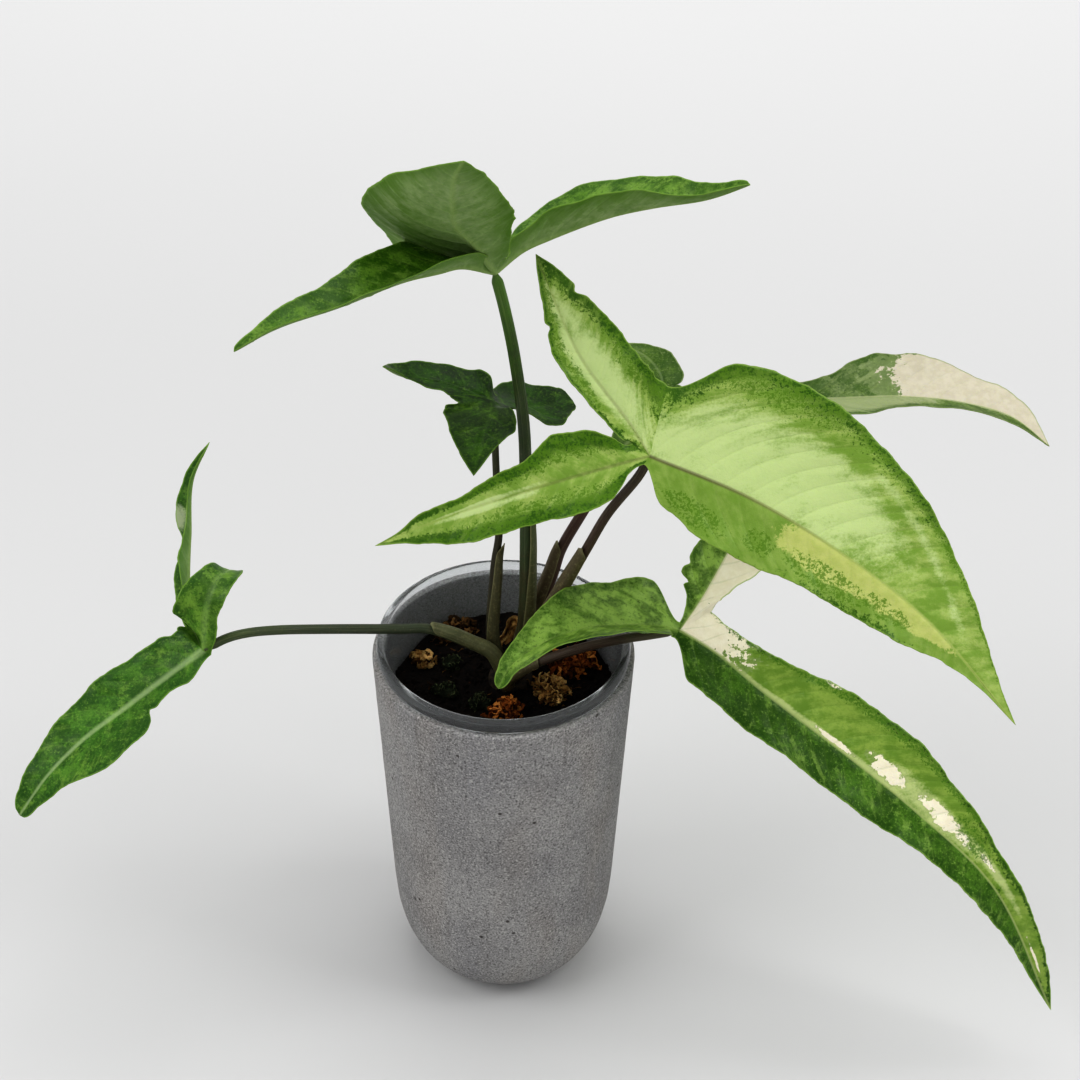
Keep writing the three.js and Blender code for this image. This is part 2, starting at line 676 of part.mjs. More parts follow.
function litter({ at, size, turn, lumps }) {
  const angle = THREE.MathUtils.degToRad(turn);
  const ball = new THREE.IcosahedronGeometry(0.5, 2);
  return welded(moveVertices(ball, (point) => {
    const around = Math.atan2(point.y, point.x);
    const swell = 1 + 0.16 * Math.sin(lumps * around + at[0]) * Math.cos(3 * point.z + at[1]);
    point.multiplyScalar(swell);
    point.multiply(vector(size));
    point.applyAxisAngle(new THREE.Vector3(0, 0, 1), angle);
    point.add(new THREE.Vector3(at[0], at[1], 0));
    const ground = mixHeight(point.x, point.y) + 2 * GAP;
    point.z = Math.max(point.z + ground + 0.25 * size[2], ground);
  }));
}

// Assembly

addPart('cover_pot', coverPot(), 'pot');
addPart('grow_cup', growCup(), 'cup');
addPart('growing_medium', growingMedium(), 'mix');
addPart('stem_and_roots', toGeometry(stemAndRoots(0)), 'root');

for (const [name, leaf] of Object.entries(LEAVES)) {
  addPart(`${name}_petiole`, petiole(leaf), 'petiole');
  addPart(`${name}_blade`, toGeometry(blade(leaf, BLADE_THICKNESS)), BLADE_FINISH[name]);
}

for (const [name, piece] of Object.entries(LITTER)) {
  addPart(name, litter(piece), name.startsWith('green') ? 'green_moss' : 'dry_moss');
}

export default object;
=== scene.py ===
# %% [markdown]
# A potted climbing aroid
#
# A young climbing aroid stands in a clear grow cup, and the cup hangs by its bead in a grey cover
# pot with a sand texture. Six leaves of three lobes each reach out on slender stalks. The CAD
# frame gives every piece its size and place. This lesson gives each piece its surface.

import functools
import math

import bpy
import numpy as np
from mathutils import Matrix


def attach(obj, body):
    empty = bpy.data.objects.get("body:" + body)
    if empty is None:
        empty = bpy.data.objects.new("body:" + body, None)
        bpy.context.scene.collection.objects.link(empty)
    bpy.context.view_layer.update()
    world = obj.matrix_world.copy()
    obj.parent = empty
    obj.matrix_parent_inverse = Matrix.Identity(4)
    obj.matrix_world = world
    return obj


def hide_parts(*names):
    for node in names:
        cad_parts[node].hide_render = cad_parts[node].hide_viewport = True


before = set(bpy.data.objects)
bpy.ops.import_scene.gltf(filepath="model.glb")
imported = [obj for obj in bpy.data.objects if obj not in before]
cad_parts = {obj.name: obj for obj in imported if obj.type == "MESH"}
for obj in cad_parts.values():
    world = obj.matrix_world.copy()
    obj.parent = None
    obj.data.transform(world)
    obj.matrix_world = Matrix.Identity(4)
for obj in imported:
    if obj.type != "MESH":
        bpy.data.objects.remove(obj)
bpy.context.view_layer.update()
MM = 0.001
print("CAD nodes:", len(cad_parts))

# %% [markdown]
# Camera and light
#
# The object is seen from in front and above, so the rim and the foot of the pot are ellipses. Their
# shapes give the pitch and distance of the camera, which could also be found by trial. The light is a
# white room with three large soft lamps, which draw the bright arcs on the clear bead. A single sun
# would throw hard shadows, and the real ones are faint. The floor is a pale sheet with painted light:
# it is painted lighter farther from the camera, as the light falls off towards the front.

# %% Camera
CAMERA_PLACE = (0, -0.6455, 0.7100)
CAMERA_PITCH = 37.8

camera_data = bpy.data.cameras.new("camera")
camera_data.lens = 75
camera_data.sensor_width = 36
camera_data.shift_x = 0.0338
camera = bpy.data.objects.new("camera", camera_data)
camera.location = CAMERA_PLACE
camera.rotation_euler = (math.radians(90 - CAMERA_PITCH), 0, 0)
bpy.context.collection.objects.link(camera)
bpy.context.scene.camera = camera
print("camera pitched down", CAMERA_PITCH, "degrees")


# %% Lamps and floor
def soft_lamp(name, place, target, size, power):
    data = bpy.data.lights.new(name, "AREA")
    data.shape = "RECTANGLE"
    data.size, data.size_y = size
    data.energy = power
    lamp = bpy.data.objects.new(name, data)
    lamp.location = place
    away = lamp.location - type(lamp.location)(target)
    lamp.rotation_euler = away.to_track_quat("Z", "Y").to_euler()
    bpy.context.collection.objects.link(lamp)


LEAF_HEART = (0.03, 0, 0.22)
soft_lamp("left lamp", (-1.1, -0.5, 1.5), LEAF_HEART, (0.9, 0.9), 7)
soft_lamp("right lamp", (1.2, -0.2, 1.6), LEAF_HEART, (0.8, 0.8), 8)
soft_lamp("top lamp", (0.1, 0.5, 2.0), LEAF_HEART, (1.2, 1.0), 6)

world = bpy.data.worlds.new("white room")
world.use_nodes = True
world.node_tree.nodes["Background"].inputs["Color"].default_value = (1.0, 1.0, 1.0, 1)
world.node_tree.nodes["Background"].inputs["Strength"].default_value = 0.55
bpy.context.scene.world = world
bpy.context.scene.view_settings.view_transform = "Standard"
bpy.context.scene.view_settings.look = "High Contrast"

floor_mesh = bpy.data.meshes.new("floor")
FLOOR_REACH = 6
floor_corners = [(x, y, 0) for x, y in ((-1, -1), (1, -1), (1, 1), (-1, 1))]
floor_corners = [(FLOOR_REACH * x, FLOOR_REACH * y, z) for x, y, z in floor_corners]
floor_mesh.from_pydata(floor_corners, [], [(0, 1, 2, 3)])
floor = bpy.data.objects.new("floor", floor_mesh)
bpy.context.collection.objects.link(floor)

# %% [markdown]
# Node helpers
#
# Materials and Geometry Nodes trees are both graphs of nodes. Their nodes could be made and linked
# one by one, but the script would be long and the pattern hard to see. One helper adds a node, sets
# its properties, and fills each input with a value or a link, so that a tree reads as plain lines.


# %% Node helpers
def colour(hexadecimal):
    """Linear colour of an sRGB code such as 8c8a8e."""
    parts = [int(hexadecimal[i:i + 2], 16) / 255 for i in (0, 2, 4)]
    return tuple(((x + 0.055) / 1.055) ** 2.4 if x > 0.04045 else x / 12.92 for x in parts) + (1,)


def spaced(inputs):
    """Inputs by their real names, in which an underscore is a space."""
    return {name.replace("_", " "): value for name, value in inputs.items()}


class Graph:
    """A node tree under construction, with short names for the nodes that it uses most."""

    def add(self, kind, inputs=None, **settings):
        node = self.tree.nodes.new(kind)
        for key, value in settings.items():
            setattr(node, key, value)
        self.fill(node, inputs or {})
        return node

    def fill(self, node, inputs):
        """Give each input its value or its link."""
        for key, value in inputs.items():
            if isinstance(value, bpy.types.NodeSocket):
                self.tree.links.new(value, node.inputs[key])
            else:
                node.inputs[key].default_value = value

    def out(self, kind, inputs=None, **settings):
        """First output of a new node."""
        return self.add(kind, inputs, **settings).outputs[0]

    def math(self, operation, a, b=0.0, c=0.0):
        return self.out("ShaderNodeMath", {0: a, 1: b, 2: c}, operation=operation)

    def times(self, a, *factors):
        for factor in factors:
            a = self.math("MULTIPLY", a, factor)
        return a

    def noise(self, size, detail=3.0, roughness=0.55, place=None):
        """Noise from 0 to 1 whose lumps are about size in millimetres."""
        inputs = {"Vector": place or self.place, "Scale": 1 / (size * MM), "Detail": detail}
        return self.out("ShaderNodeTexNoise", inputs | {"Roughness": roughness})

    def ramp(self, value, low, high, to_low=0.0, to_high=1.0):
        inputs = {0: value, 1: low, 2: high, 3: to_low, 4: to_high}
        return self.out("ShaderNodeMapRange", inputs, interpolation_type="SMOOTHSTEP")

    def vector(self, x=0.0, y=0.0, z=0.0):
        return self.out("ShaderNodeCombineXYZ", {0: x, 1: y, 2: z})


# %% Material helpers
class Finish(Graph):
    """A material under construction. Its textures lie in object coordinates."""

    def __init__(self, name):
        self.material = bpy.data.materials.new(name)
        self.material.use_nodes = True
        self.tree = self.material.node_tree
        self.shader = self.tree.nodes["Principled BSDF"]
        self.place = self.add("ShaderNodeTexCoord").outputs["Object"]

    def value(self, attribute):
        return self.add("ShaderNodeAttribute", attribute_name=attribute).outputs["Fac"]

    def cells(self, size, feature="F1"):
        inputs = {"Vector": self.place, "Scale": 1 / (size * MM)}
        return self.add("ShaderNodeTexVoronoi", inputs, feature=feature).outputs["Distance"]

    def stretched(self, x, y, z):
        """Object coordinates with each axis multiplied, to draw a pattern out along the others."""
        return self.out("ShaderNodeMapping", {"Vector": self.place, "Scale": (x, y, z)})

    def mix(self, factor, a, b):
        """Mix of two colours, each a link or an sRGB code."""
        a, b = (colour(x) if isinstance(x, str) else x for x in (a, b))
        return self.add("ShaderNodeMix", {0: factor, 6: a, 7: b}, data_type="RGBA").outputs[2]

    def over(self, under, laid, mask, low, high, amount=1.0):
        """A colour laid over another, from nothing where the mask is low to the amount where high."""
        return self.mix(self.ramp(mask, low, high, 0.0, amount), under, laid)

    def bump(self, height, depth, strength=1.0, onto=None):
        """Bump of the given depth in millimetres, on top of an earlier one if there is one."""
        inputs = {"Height": height, "Distance": depth * MM, "Strength": strength}
        if onto:
            inputs["Normal"] = onto
        return self.out("ShaderNodeBump", inputs)

    def set(self, **inputs):
        self.fill(self.shader, spaced(inputs))
        return self.material


# %% Floor finish
floor_finish = Finish("pale floor")
floor_cloud = floor_finish.noise(600, 2)
painted_light_depth = floor_finish.add("ShaderNodeSeparateXYZ", {0: floor_finish.place}).outputs[1]
floor_tone = floor_finish.mix(floor_cloud, "cbcbcb", "cfcfcf")
# Painted light: the floor is painted lighter farther from the camera, as the light falls off towards
# the front
floor_tone = floor_finish.over(floor_tone, "e8e8e8", painted_light_depth, 0.3, 1.3)
floor_finish.set(Base_Color=floor_tone, Roughness=0.9, Specular_IOR_Level=0.1)
floor_mesh.materials.append(floor_finish.material)
print("floor finish:", len(floor_finish.tree.nodes), "nodes")

# %% [markdown]
# Mesh helpers
#
# Every finished piece is a plain mesh whose object stays at the origin. Shapes are worked out in
# millimetres, like the CAD, and turned into metres when the mesh is made. A whole array of points
# goes into a mesh at once, because adding points one at a time is slow.


# %% Mesh helpers
def show(mesh, name, finishes):
    piece = bpy.data.objects.new(name, mesh)
    bpy.context.collection.objects.link(piece)
    for finish in finishes:
        mesh.materials.append(finish)
    mesh.shade_smooth()
    return piece


def mesh_from(name, points, faces):
    """Mesh from points in millimetres. faces holds groups of faces, each the numbers of its corners."""
    mesh = bpy.data.meshes.new(name)
    corners = [[int(corner) for corner in face] for group in faces for face in group]
    mesh.from_pydata((np.asarray(points) * MM).tolist(), [], corners)
    mesh.update()
    return mesh


def keep_numbers(mesh, name, domain, values):
    """Store one number for each point or corner, for a finish to read."""
    layer = mesh.attributes.new(name, "FLOAT", domain)
    layer.data.foreach_set("value", np.asarray(values, np.float32))


def grid_faces(corner):
    """Quads between the points of a grid of corner numbers."""
    a, b, c, d = corner[:-1, :-1], corner[1:, :-1], corner[1:, 1:], corner[:-1, 1:]
    return np.stack([a, b, c, d], -1).reshape(-1, 4)


def finished(piece, slot, *nodes):
    """Attach a piece to the root body and hide the CAD nodes that it stands for. Its slot, what it is
    made of, is not used.
    """
    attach(piece, "root")
    if nodes:
        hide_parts(*nodes)


# %% Measures and baking
def triangles(piece):
    return sum(len(polygon.vertices) - 2 for polygon in piece.data.polygons)


def volume(mesh):
    """Signed volume in cubic millimetres: positive when the faces look outwards."""
    mesh.calc_loop_triangles()
    points = np.empty(len(mesh.vertices) * 3)
    mesh.vertices.foreach_get("co", points)
    corners = np.empty(len(mesh.loop_triangles) * 3, int)
    mesh.loop_triangles.foreach_get("vertices", corners)
    a, b, c = points.reshape(-1, 3)[corners.reshape(-1, 3)].transpose(1, 0, 2)
    return float(np.einsum("ij,ij->i", a, np.cross(b, c)).sum() / 6 / MM ** 3)


def baked(host, name):
    """Plain mesh object of what a host's Geometry Nodes make. The host and its modifier go."""
    bpy.context.view_layer.update()
    graph = bpy.context.evaluated_depsgraph_get()
    mesh = bpy.data.meshes.new_from_object(host.evaluated_get(graph))
    bpy.data.objects.remove(host)
    mesh.name = name
    piece = bpy.data.objects.new(name, mesh)
    bpy.context.collection.objects.link(piece)
    print(f"{name}: {triangles(piece)} triangles, {volume(mesh):.0f} cubic millimetres")
    return piece


def smooth(low, high, x):
    t = np.clip((np.asarray(x, float) - low) / (high - low), 0, 1)
    return t * t * (3 - 2 * t)


def unit(v):
    v = np.asarray(v, float)
    return v / np.maximum(np.linalg.norm(v, axis=-1, keepdims=True), 1e-9)


# %% [markdown]
# Curves through given points
#
# Stalks and midribs bend freely. They could be Bezier curves, but those need handles as well as
# points. Centripetal Catmull-Rom curves pass through every point without loops and need nothing
# else. The CAD uses the same rule, so the fine surfaces lie where the CAD pieces are.


# %% Curve through points
def read(stations, rows, places):
    """Rows of numbers that belong to stations, read at other places."""
    return np.stack([np.interp(places, stations, column) for column in np.asarray(rows, float).T], -1)


FINE_STEPS = 60


def curve_through(points, count):
    """count + 1 points spread evenly along the curve, and its length."""
    p = np.asarray(points, float)
    p = np.vstack([2 * p[0] - p[1], p, 2 * p[-1] - p[-2]])
    knots = np.concatenate([[0], np.cumsum(np.linalg.norm(np.diff(p, axis=0), axis=1) ** 0.5)])
    fine = []
    for i in range(1, len(p) - 2):
        t0, t1, t2, t3 = knots[i - 1:i + 3]
        x = np.linspace(t1, t2, FINE_STEPS, endpoint=i == len(p) - 3)[:, None]
        a1 = (t1 - x) / (t1 - t0) * p[i - 1] + (x - t0) / (t1 - t0) * p[i]
        a2 = (t2 - x) / (t2 - t1) * p[i] + (x - t1) / (t2 - t1) * p[i + 1]
        a3 = (t3 - x) / (t3 - t2) * p[i + 1] + (x - t2) / (t3 - t2) * p[i + 2]
        b1 = (t2 - x) / (t2 - t0) * a1 + (x - t0) / (t2 - t0) * a2
        b2 = (t3 - x) / (t3 - t1) * a2 + (x - t1) / (t3 - t1) * a3
        fine.append((t2 - x) / (t2 - t1) * b1 + (x - t1) / (t2 - t1) * b2)
    fine = np.vstack(fine)
    reached = np.concatenate([[0], np.cumsum(np.linalg.norm(np.diff(fine, axis=0), axis=1))])
    wanted = np.linspace(0, reached[-1], count + 1)
    return read(reached, fine, wanted), reached[-1]


# %% [markdown]
# The leaves
#
# Each leaf has a joint, where its stalk meets the midribs of three lobes. A lobe has its midrib
# from there to its tip, the directions its upper face looks, the fold of its left and right half
# towards that face in degrees, and the half widths at fixed stations. Seen from above, lobes go
# round to the left, and sinus holds the notch after each lobe. These are the sizes of the CAD, in
# millimetres. nicks are small bites out of a margin: half, distance along, depth and reach.

# %% Leaf table
STALK_FOOT = 136
WIDTH_STATIONS = [0.08, 0.18, 0.3, 0.42, 0.55, 0.68, 0.8, 0.92]
NECK = 0.12
WEB = 1.7


def lobe(midrib, face, fold, left, right, **details):
    """One lobe. left and right are its half widths at the stations."""
    return dict(midrib=midrib, face=face, fold=fold, left=left, right=right, **details)


LEAVES = {
    "top_leaf": dict(
        joint=(-3, 12, 315), girth=(2.9, 2.0),
        sheath=dict(side=(1, 0.2, 0), reach=0.42, depth=1.2, tip=0.44),
        stalk=[(5.5, 9, STALK_FOOT), (6.8, 9.6, 150), (8.1, 10, 167), (8.4, 12, 195), (8.2, 15, 216),
               (7.4, 19, 245), (4, 19, 275), (0.5, 16, 297)],
        sinus=[(1, 9, 322), (-4, 18, 315), (-6, 8.5, 319.5)],
        lobes=[
            lobe([(-9, 0, 332), (-15, -10, 345), (-16, -20, 358), (-15, -32, 375), (-12, -42, 386)],
                 [(0.2, 0.77, 0.6), (0.2, 0.75, 0.6)], (15, 5), (7, 10, 15, 19, 19, 16, 11, 5),
                 (34, 35, 35, 33, 29, 22, 12, 4), sweep=((0, 0, 10), (-15, 0, 0)), neck=(0.12, 0.06)),
            lobe([(6, 16, 321), (15, 19, 324), (36, 22, 331), (51, 23, 334), (68, 21, 338),
                  (82, 18, 345)],
                 [(0, 0.6, 0.8), (0, 0.45, 0.9), (0, 0.1, 1)], (35, 30), (8, 15, 20, 21, 18, 13, 8, 4),
                 (8, 12, 16, 17, 15, 11, 7, 4), blunt=0.8),
            lobe([(-14, 4, 322), (-22, -3, 324), (-33, -10, 325), (-53, -24, 324), (-73, -36, 323),
                  (-86, -42, 318)],
                 [(0, 0.5, 0.86), (0, 0.1, 1), (0, 0.1, 1)], (30, 25), (8, 11, 13, 12, 11, 9, 6, 3),
                 (20, 20, 18, 14, 12, 9, 6.5, 3), blunt=0.9),
        ],
    ),
    "small_leaf": dict(
        joint=(-3.7, 19, 257), girth=(1.9, 1.2),
        sheath=dict(side=(1, -0.3, 0), reach=0.5, depth=1.6, tip=0.515),
        stalk=[(-1, 9.5, STALK_FOOT), (-3.6, 8.6, 148), (-5.1, 8, 157), (-4.3, 10, 177),
               (-3.2, 12, 190), (-1.7, 14, 201), (-2.6, 17, 226), (-3.2, 18.5, 245)],
        sinus=[(2.2, 20.5, 252.5), (-2.5, 25, 255.5), (-16, 15, 259.5)],
        lobes=[
            lobe([(-5.8, 6, 256.5), (-8.2, -7, 255), (-10.3, -20, 253)],
                 [(0, 0.1, 1)], (10, 10), (6, 8.5, 10.5, 11, 8.5, 5.5, 3.5, 1.5),
                 (16, 16.5, 16, 14, 11.5, 8.5, 5.5, 2.5)),
            lobe([(6, 30, 247.5), (16.3, 37, 243), (25.5, 42, 242)],
                 [(0, -0.2, 0.98)], (8, 8), (6, 8, 10, 12, 12.5, 12, 10, 7),
                 (4, 4.5, 5, 7, 12, 13, 10, 6), blunt=1.0),
            lobe([(-12, 22, 259), (-20.6, 25, 261), (-30, 26, 262.5), (-37, 24, 265.5),
                  (-42.6, 20, 271.5)],
                 [(0, -0.1, 1), (0, 0, 1)], (15, 15), (8, 8, 8, 7.5, 7, 6, 4.5, 2.5),
                 (9, 10, 9, 8.5, 8, 7, 5.5, 2.5)),
        ],
    ),
    "lime_leaf": dict(
        joint=(50, -20, 261), girth=(2.3, 1.6),
        sheath=dict(side=(-0.6, -0.6, 0.4), reach=0.45, depth=1.8, tip=0.59),
        stalk=[(4.5, 4.2, STALK_FOOT), (6.8, 3.4, 149), (10.1, 3, 159), (16.7, 1, 174), (23.8, -2, 192),
               (30.5, -6, 211), (37, -10, 229), (47, -16, 250)],
        sinus=[(56, -5, 280), (44, -17, 264), (48, -22, 259)],
        lobes=[
            lobe([(84, -29, 250), (116, -41, 235), (145, -55, 217), (175, -77, 189)],
                 [(0, -0.79, 0.61), (0.15, -0.8, 0.6)], (4, 4), (39, 43, 42, 38, 31, 21, 11.5, 4),
                 (15, 20, 20.5, 17.5, 16, 13, 5.5, 1), neck=(0.1, 0.06)),
            lobe([(44, -14, 269), (27, 0, 287), (19, 10, 300), (11, 22, 316)],
                 [(0, -0.79, 0.61)], (8, 8), (5, 6, 7, 7.5, 8, 6.5, 4, 2),
                 (15, 16, 16.5, 16.5, 16, 13, 9.5, 4.5),
                 nicks=((1, 62.5, 2.2, 2.0), (0, 55, 1.6, 1.5))),
            lobe([(39, -22, 259), (12, -27, 253), (-19, -33, 245), (-44, -39, 237)],
                 [(0, -0.79, 0.61)], (8, 8), (5, 11.5, 13, 12, 11.5, 11, 7.5, 2.5),
                 (8, 14, 16, 10, 8, 5, 4.5, 1)),
        ],
    ),
    "back_leaf": dict(
        joint=(59, 38, 243), girth=(2.5, 1.8),
        sheath=dict(side=(-0.8, -0.2, 0.5), reach=0.42, depth=1.5, tip=0.47),
        stalk=[(6.5, 13.8, STALK_FOOT), (8, 15.8, 149), (10.2, 17, 157), (14.2, 18, 166),
               (18.7, 19.5, 178), (21.6, 21.5, 188), (28.9, 24.5, 202), (39.5, 30, 219),
               (50.4, 36, 234)],
        sinus=[(66, 44, 246), (52, 42, 244), (57, 31, 241)],
        lobes=[
            lobe([(93, 34, 247), (121, 30, 251), (146, 28, 253), (166, 24, 253), (182, 18, 251),
                  (195, 10, 244)],
                 [(0, 0, 1)], (17, 17), (7, 8, 8, 11, 21, 18, 12.5, 6), (9, 12, 15, 18, 17, 9, 8.5, 4)),
            lobe([(58, 50, 248), (52, 62, 249), (42, 74, 246)],
                 [(0, -0.1, 1)], (6, 6), (4, 5, 6, 6, 6, 5, 4, 2), (5, 7, 8.5, 8.5, 8, 6, 4, 2)),
            lobe([(52, 28, 242), (44, 16, 240), (35, 5, 238)],
                 [(0, 0, 1)], (10, 10), (6, 8, 9, 9, 8, 6, 4, 2), (6, 8, 9, 9, 8, 6, 4, 2)),
        ],
    ),
    "low_leaf": dict(
        joint=(65, -10, 175), girth=(2.2, 1.7),
        sheath=dict(side=(0, -0.5, 0.8), reach=0.3, depth=1.2, tip=0.32),
        stalk=[(1.5, 0.9, STALK_FOOT), (2.4, -3, 145), (6, -4.2, 149.5), (10.1, -4.5, 153),
               (19.4, -5, 158), (32.4, -6, 164), (43.4, -7, 168), (54.3, -8, 171)],
        sinus=[(77, -2, 177), (65, -8, 177), (63, -12, 173)],
        lobes=[
            lobe([(79, -14, 167), (96, -20, 154), (131, -34, 131), (154, -44, 115), (184, -56, 88),
                  (213, -66, 29)],
                 [(0.2, -0.6, 0.78), (0.25, -0.75, 0.6), (0.3, -0.8, 0.5)], (6, 6),
                 (11, 14, 20, 21, 16.5, 10, 8, 5.5), (16, 16, 15, 15, 11, 10, 6, 2.5),
                 neck=(0.08, 0.05)),
            lobe([(73, 0, 181), (83, 16, 189), (91, 28, 197), (103, 42, 205)],
                 [(-0.2, -0.5, 0.85)], (8, 8), (2.5, 5, 12, 12, 10.5, 9, 6, 3),
                 (6, 7, 9, 13, 16, 14, 9, 4), nicks=((0, 19, 3.2, 1.3), (0, 26, 1.8, 1.5))),
            lobe([(55, -12, 179), (44, -14, 181), (28, -20, 184), (14, -26, 182), (3, -32, 177),
                  (-2, -38, 171)],
                 [(0, 0.05, 1), (0, 0.05, 1), (0, 0, 1)], (27, 27), (12, 19, 21, 16, 15.5, 14, 10, 4.5),
                 (16, 19, 19, 18, 15, 11.5, 7, 3.5), blunt=1.0),
        ],
    ),
    "side_leaf": dict(
        joint=(-113, -3, 159), girth=(2.2, 1.7),
        sheath=dict(side=(0, -0.2, 1), reach=0.28, depth=1.6, tip=0.34),
        stalk=[(-0.6, 5, STALK_FOOT), (-1.9, 2.5, 146), (-5.5, 1.6, 154), (-12.7, 1, 159),
               (-27.9, -1, 168), (-38.6, -2.5, 169.2), (-63.7, -5, 171.3), (-85, -3.5, 169.5),
               (-96.5, -0.5, 165.5), (-105, 2, 160.5)],
        sinus=[(-123, 4, 163), (-110, -3, 157), (-115, 5, 166)],
        lobes=[
            lobe([(-120, 16, 161), (-122, 34, 168), (-122, 48, 177), (-121, 60, 192), (-114, 66, 206)],
                 [(-0.6, -0.3, 0.8), (-0.9, -0.3, 0.3), (-0.9, -0.3, 0.3)], (50, 50),
                 (2.5, 3, 4.5, 5.5, 2.5, 6.5, 4, 2), (3, 5, 6, 7, 5, 2.5, 2, 1)),
            lobe([(-130, -12, 150), (-143, -22, 145), (-155, -32, 141), (-168, -42, 132),
                  (-179, -50, 119)],
                 [(-0.1, -0.3, 0.95), (-0.2, -0.3, 0.9)], (12, 12), (9, 7.5, 10, 17, 19, 16, 10, 5.5),
                 (14, 14.5, 16, 15.5, 14, 11.5, 9.5, 6), blunt=1.0, nicks=((0, 30, 2.6, 1.6),)),
            lobe([(-112, 2, 169), (-110, 6, 178), (-107, 12, 182), (-104, 19, 180), (-103, 25, 174)],
                 [(-0.1, -0.9, 0.3), (0, -0.6, 0.8), (0, 0, 1)], (10, 10), (9, 11, 12, 11, 9, 7, 6, 3),
                 (5, 5, 5, 6, 7, 7, 6, 3), blunt=1.0),
        ],
    ),
}


def by_leaf(*values):
    """One value for each leaf, in the order of the table."""
    return dict(zip(LEAVES, values))


print("leaves:", ", ".join(LEAVES))

# %% [markdown]
# The shape of a blade
#
# A real blade is thin and soft. It swells between its lateral veins, sinks along the midrib, and its
# margin runs in slow waves. It could be a flat outline bent by a modifier, but then veins would run
# straight through the bends. Here the surface is a grid for each half of a lobe, from the midrib to
# the margin, because then the veins, the margin and the colours can all follow that grid. The six
# halves share their midribs and the lines from the joint to each notch.


# %% Half widths
def half_width(widths, u):
    """Monotone cubic through the half widths, with a point at the tip."""
    xs = np.array([0.0, *WIDTH_STATIONS, 1.0])
    ys = np.array([0.8 * widths[0], *widths, 0.0])
    span = np.diff(xs)
    slope = np.diff(ys) / span
    tangent = np.zeros_like(ys)
    before, after = slope[:-1], slope[1:]
    same = before * after > 0
    tangent[1:-1][same] = 2 * (before * after)[same] / (before + after)[same]
    tangent[0], tangent[-1] = slope[0], slope[-1]
    i = np.clip(np.searchsorted(xs, u, side="right") - 1, 0, len(xs) - 2)
    t = (u - xs[i]) / span[i]
    ends = (2 * t**3 - 3 * t**2 + 1) * ys[i] + (3 * t**2 - 2 * t**3) * ys[i + 1]
    return ends + span[i] * ((t**3 - 2 * t**2 + t) * tangent[i] + (t**3 - t**2) * tangent[i + 1])


def along(values, u):
    """Values spread evenly over 0 to 1, read at u."""
    stations = np.linspace(0, 1, len(values))
    return np.interp(u, stations, values) if np.ndim(values) == 1 else read(stations, values, u)


# %% Margin of a lobe
def margin_widths(lobe, index, side, u, s):
    """Half widths of a lobe at u: with its nicks, a rough margin and, in some lobes, a blunt tip."""
    width = half_width(lobe["left" if side == 0 else "right"], u)
    for half, place, depth, reach in lobe.get("nicks", ()):
        if half == side:
            width = width - depth * np.exp(-(((s - place) / reach) ** 2))
    # Small waves of unlike lengths, different for each half, leave no margin quite even
    rough = 0.05 * np.sin(2.1 * s + 3 * index)
    rough += 0.13 * np.sin(0.95 * s + index) * np.sin(0.31 * s + side)
    rough += 0.3 * np.sin(0.37 * s + 2 * side) * np.sin(0.23 * s + index)
    width = np.maximum(width + rough * smooth(0, 6, width), 0)
    # A blunt tip is a quarter of an ellipse past the last station
    end = WIDTH_STATIONS[-1]
    bow = np.interp(end, u, width) * np.sqrt(np.clip(1 - ((u - end) / (1 - end)) ** 2, 0, 1))
    blunt = lobe.get("blunt", 0.0) * (u > end)
    width = (1 - blunt) * width + blunt * bow
    width[-1] = 0
    return width


# %% Half of a lobe
VEIN_SPACING = 9.0
ROW_STEP = 0.85
COLUMN_CROWDING = 1.25
QUILT_HEIGHT = 0.28
SAG = 0.05


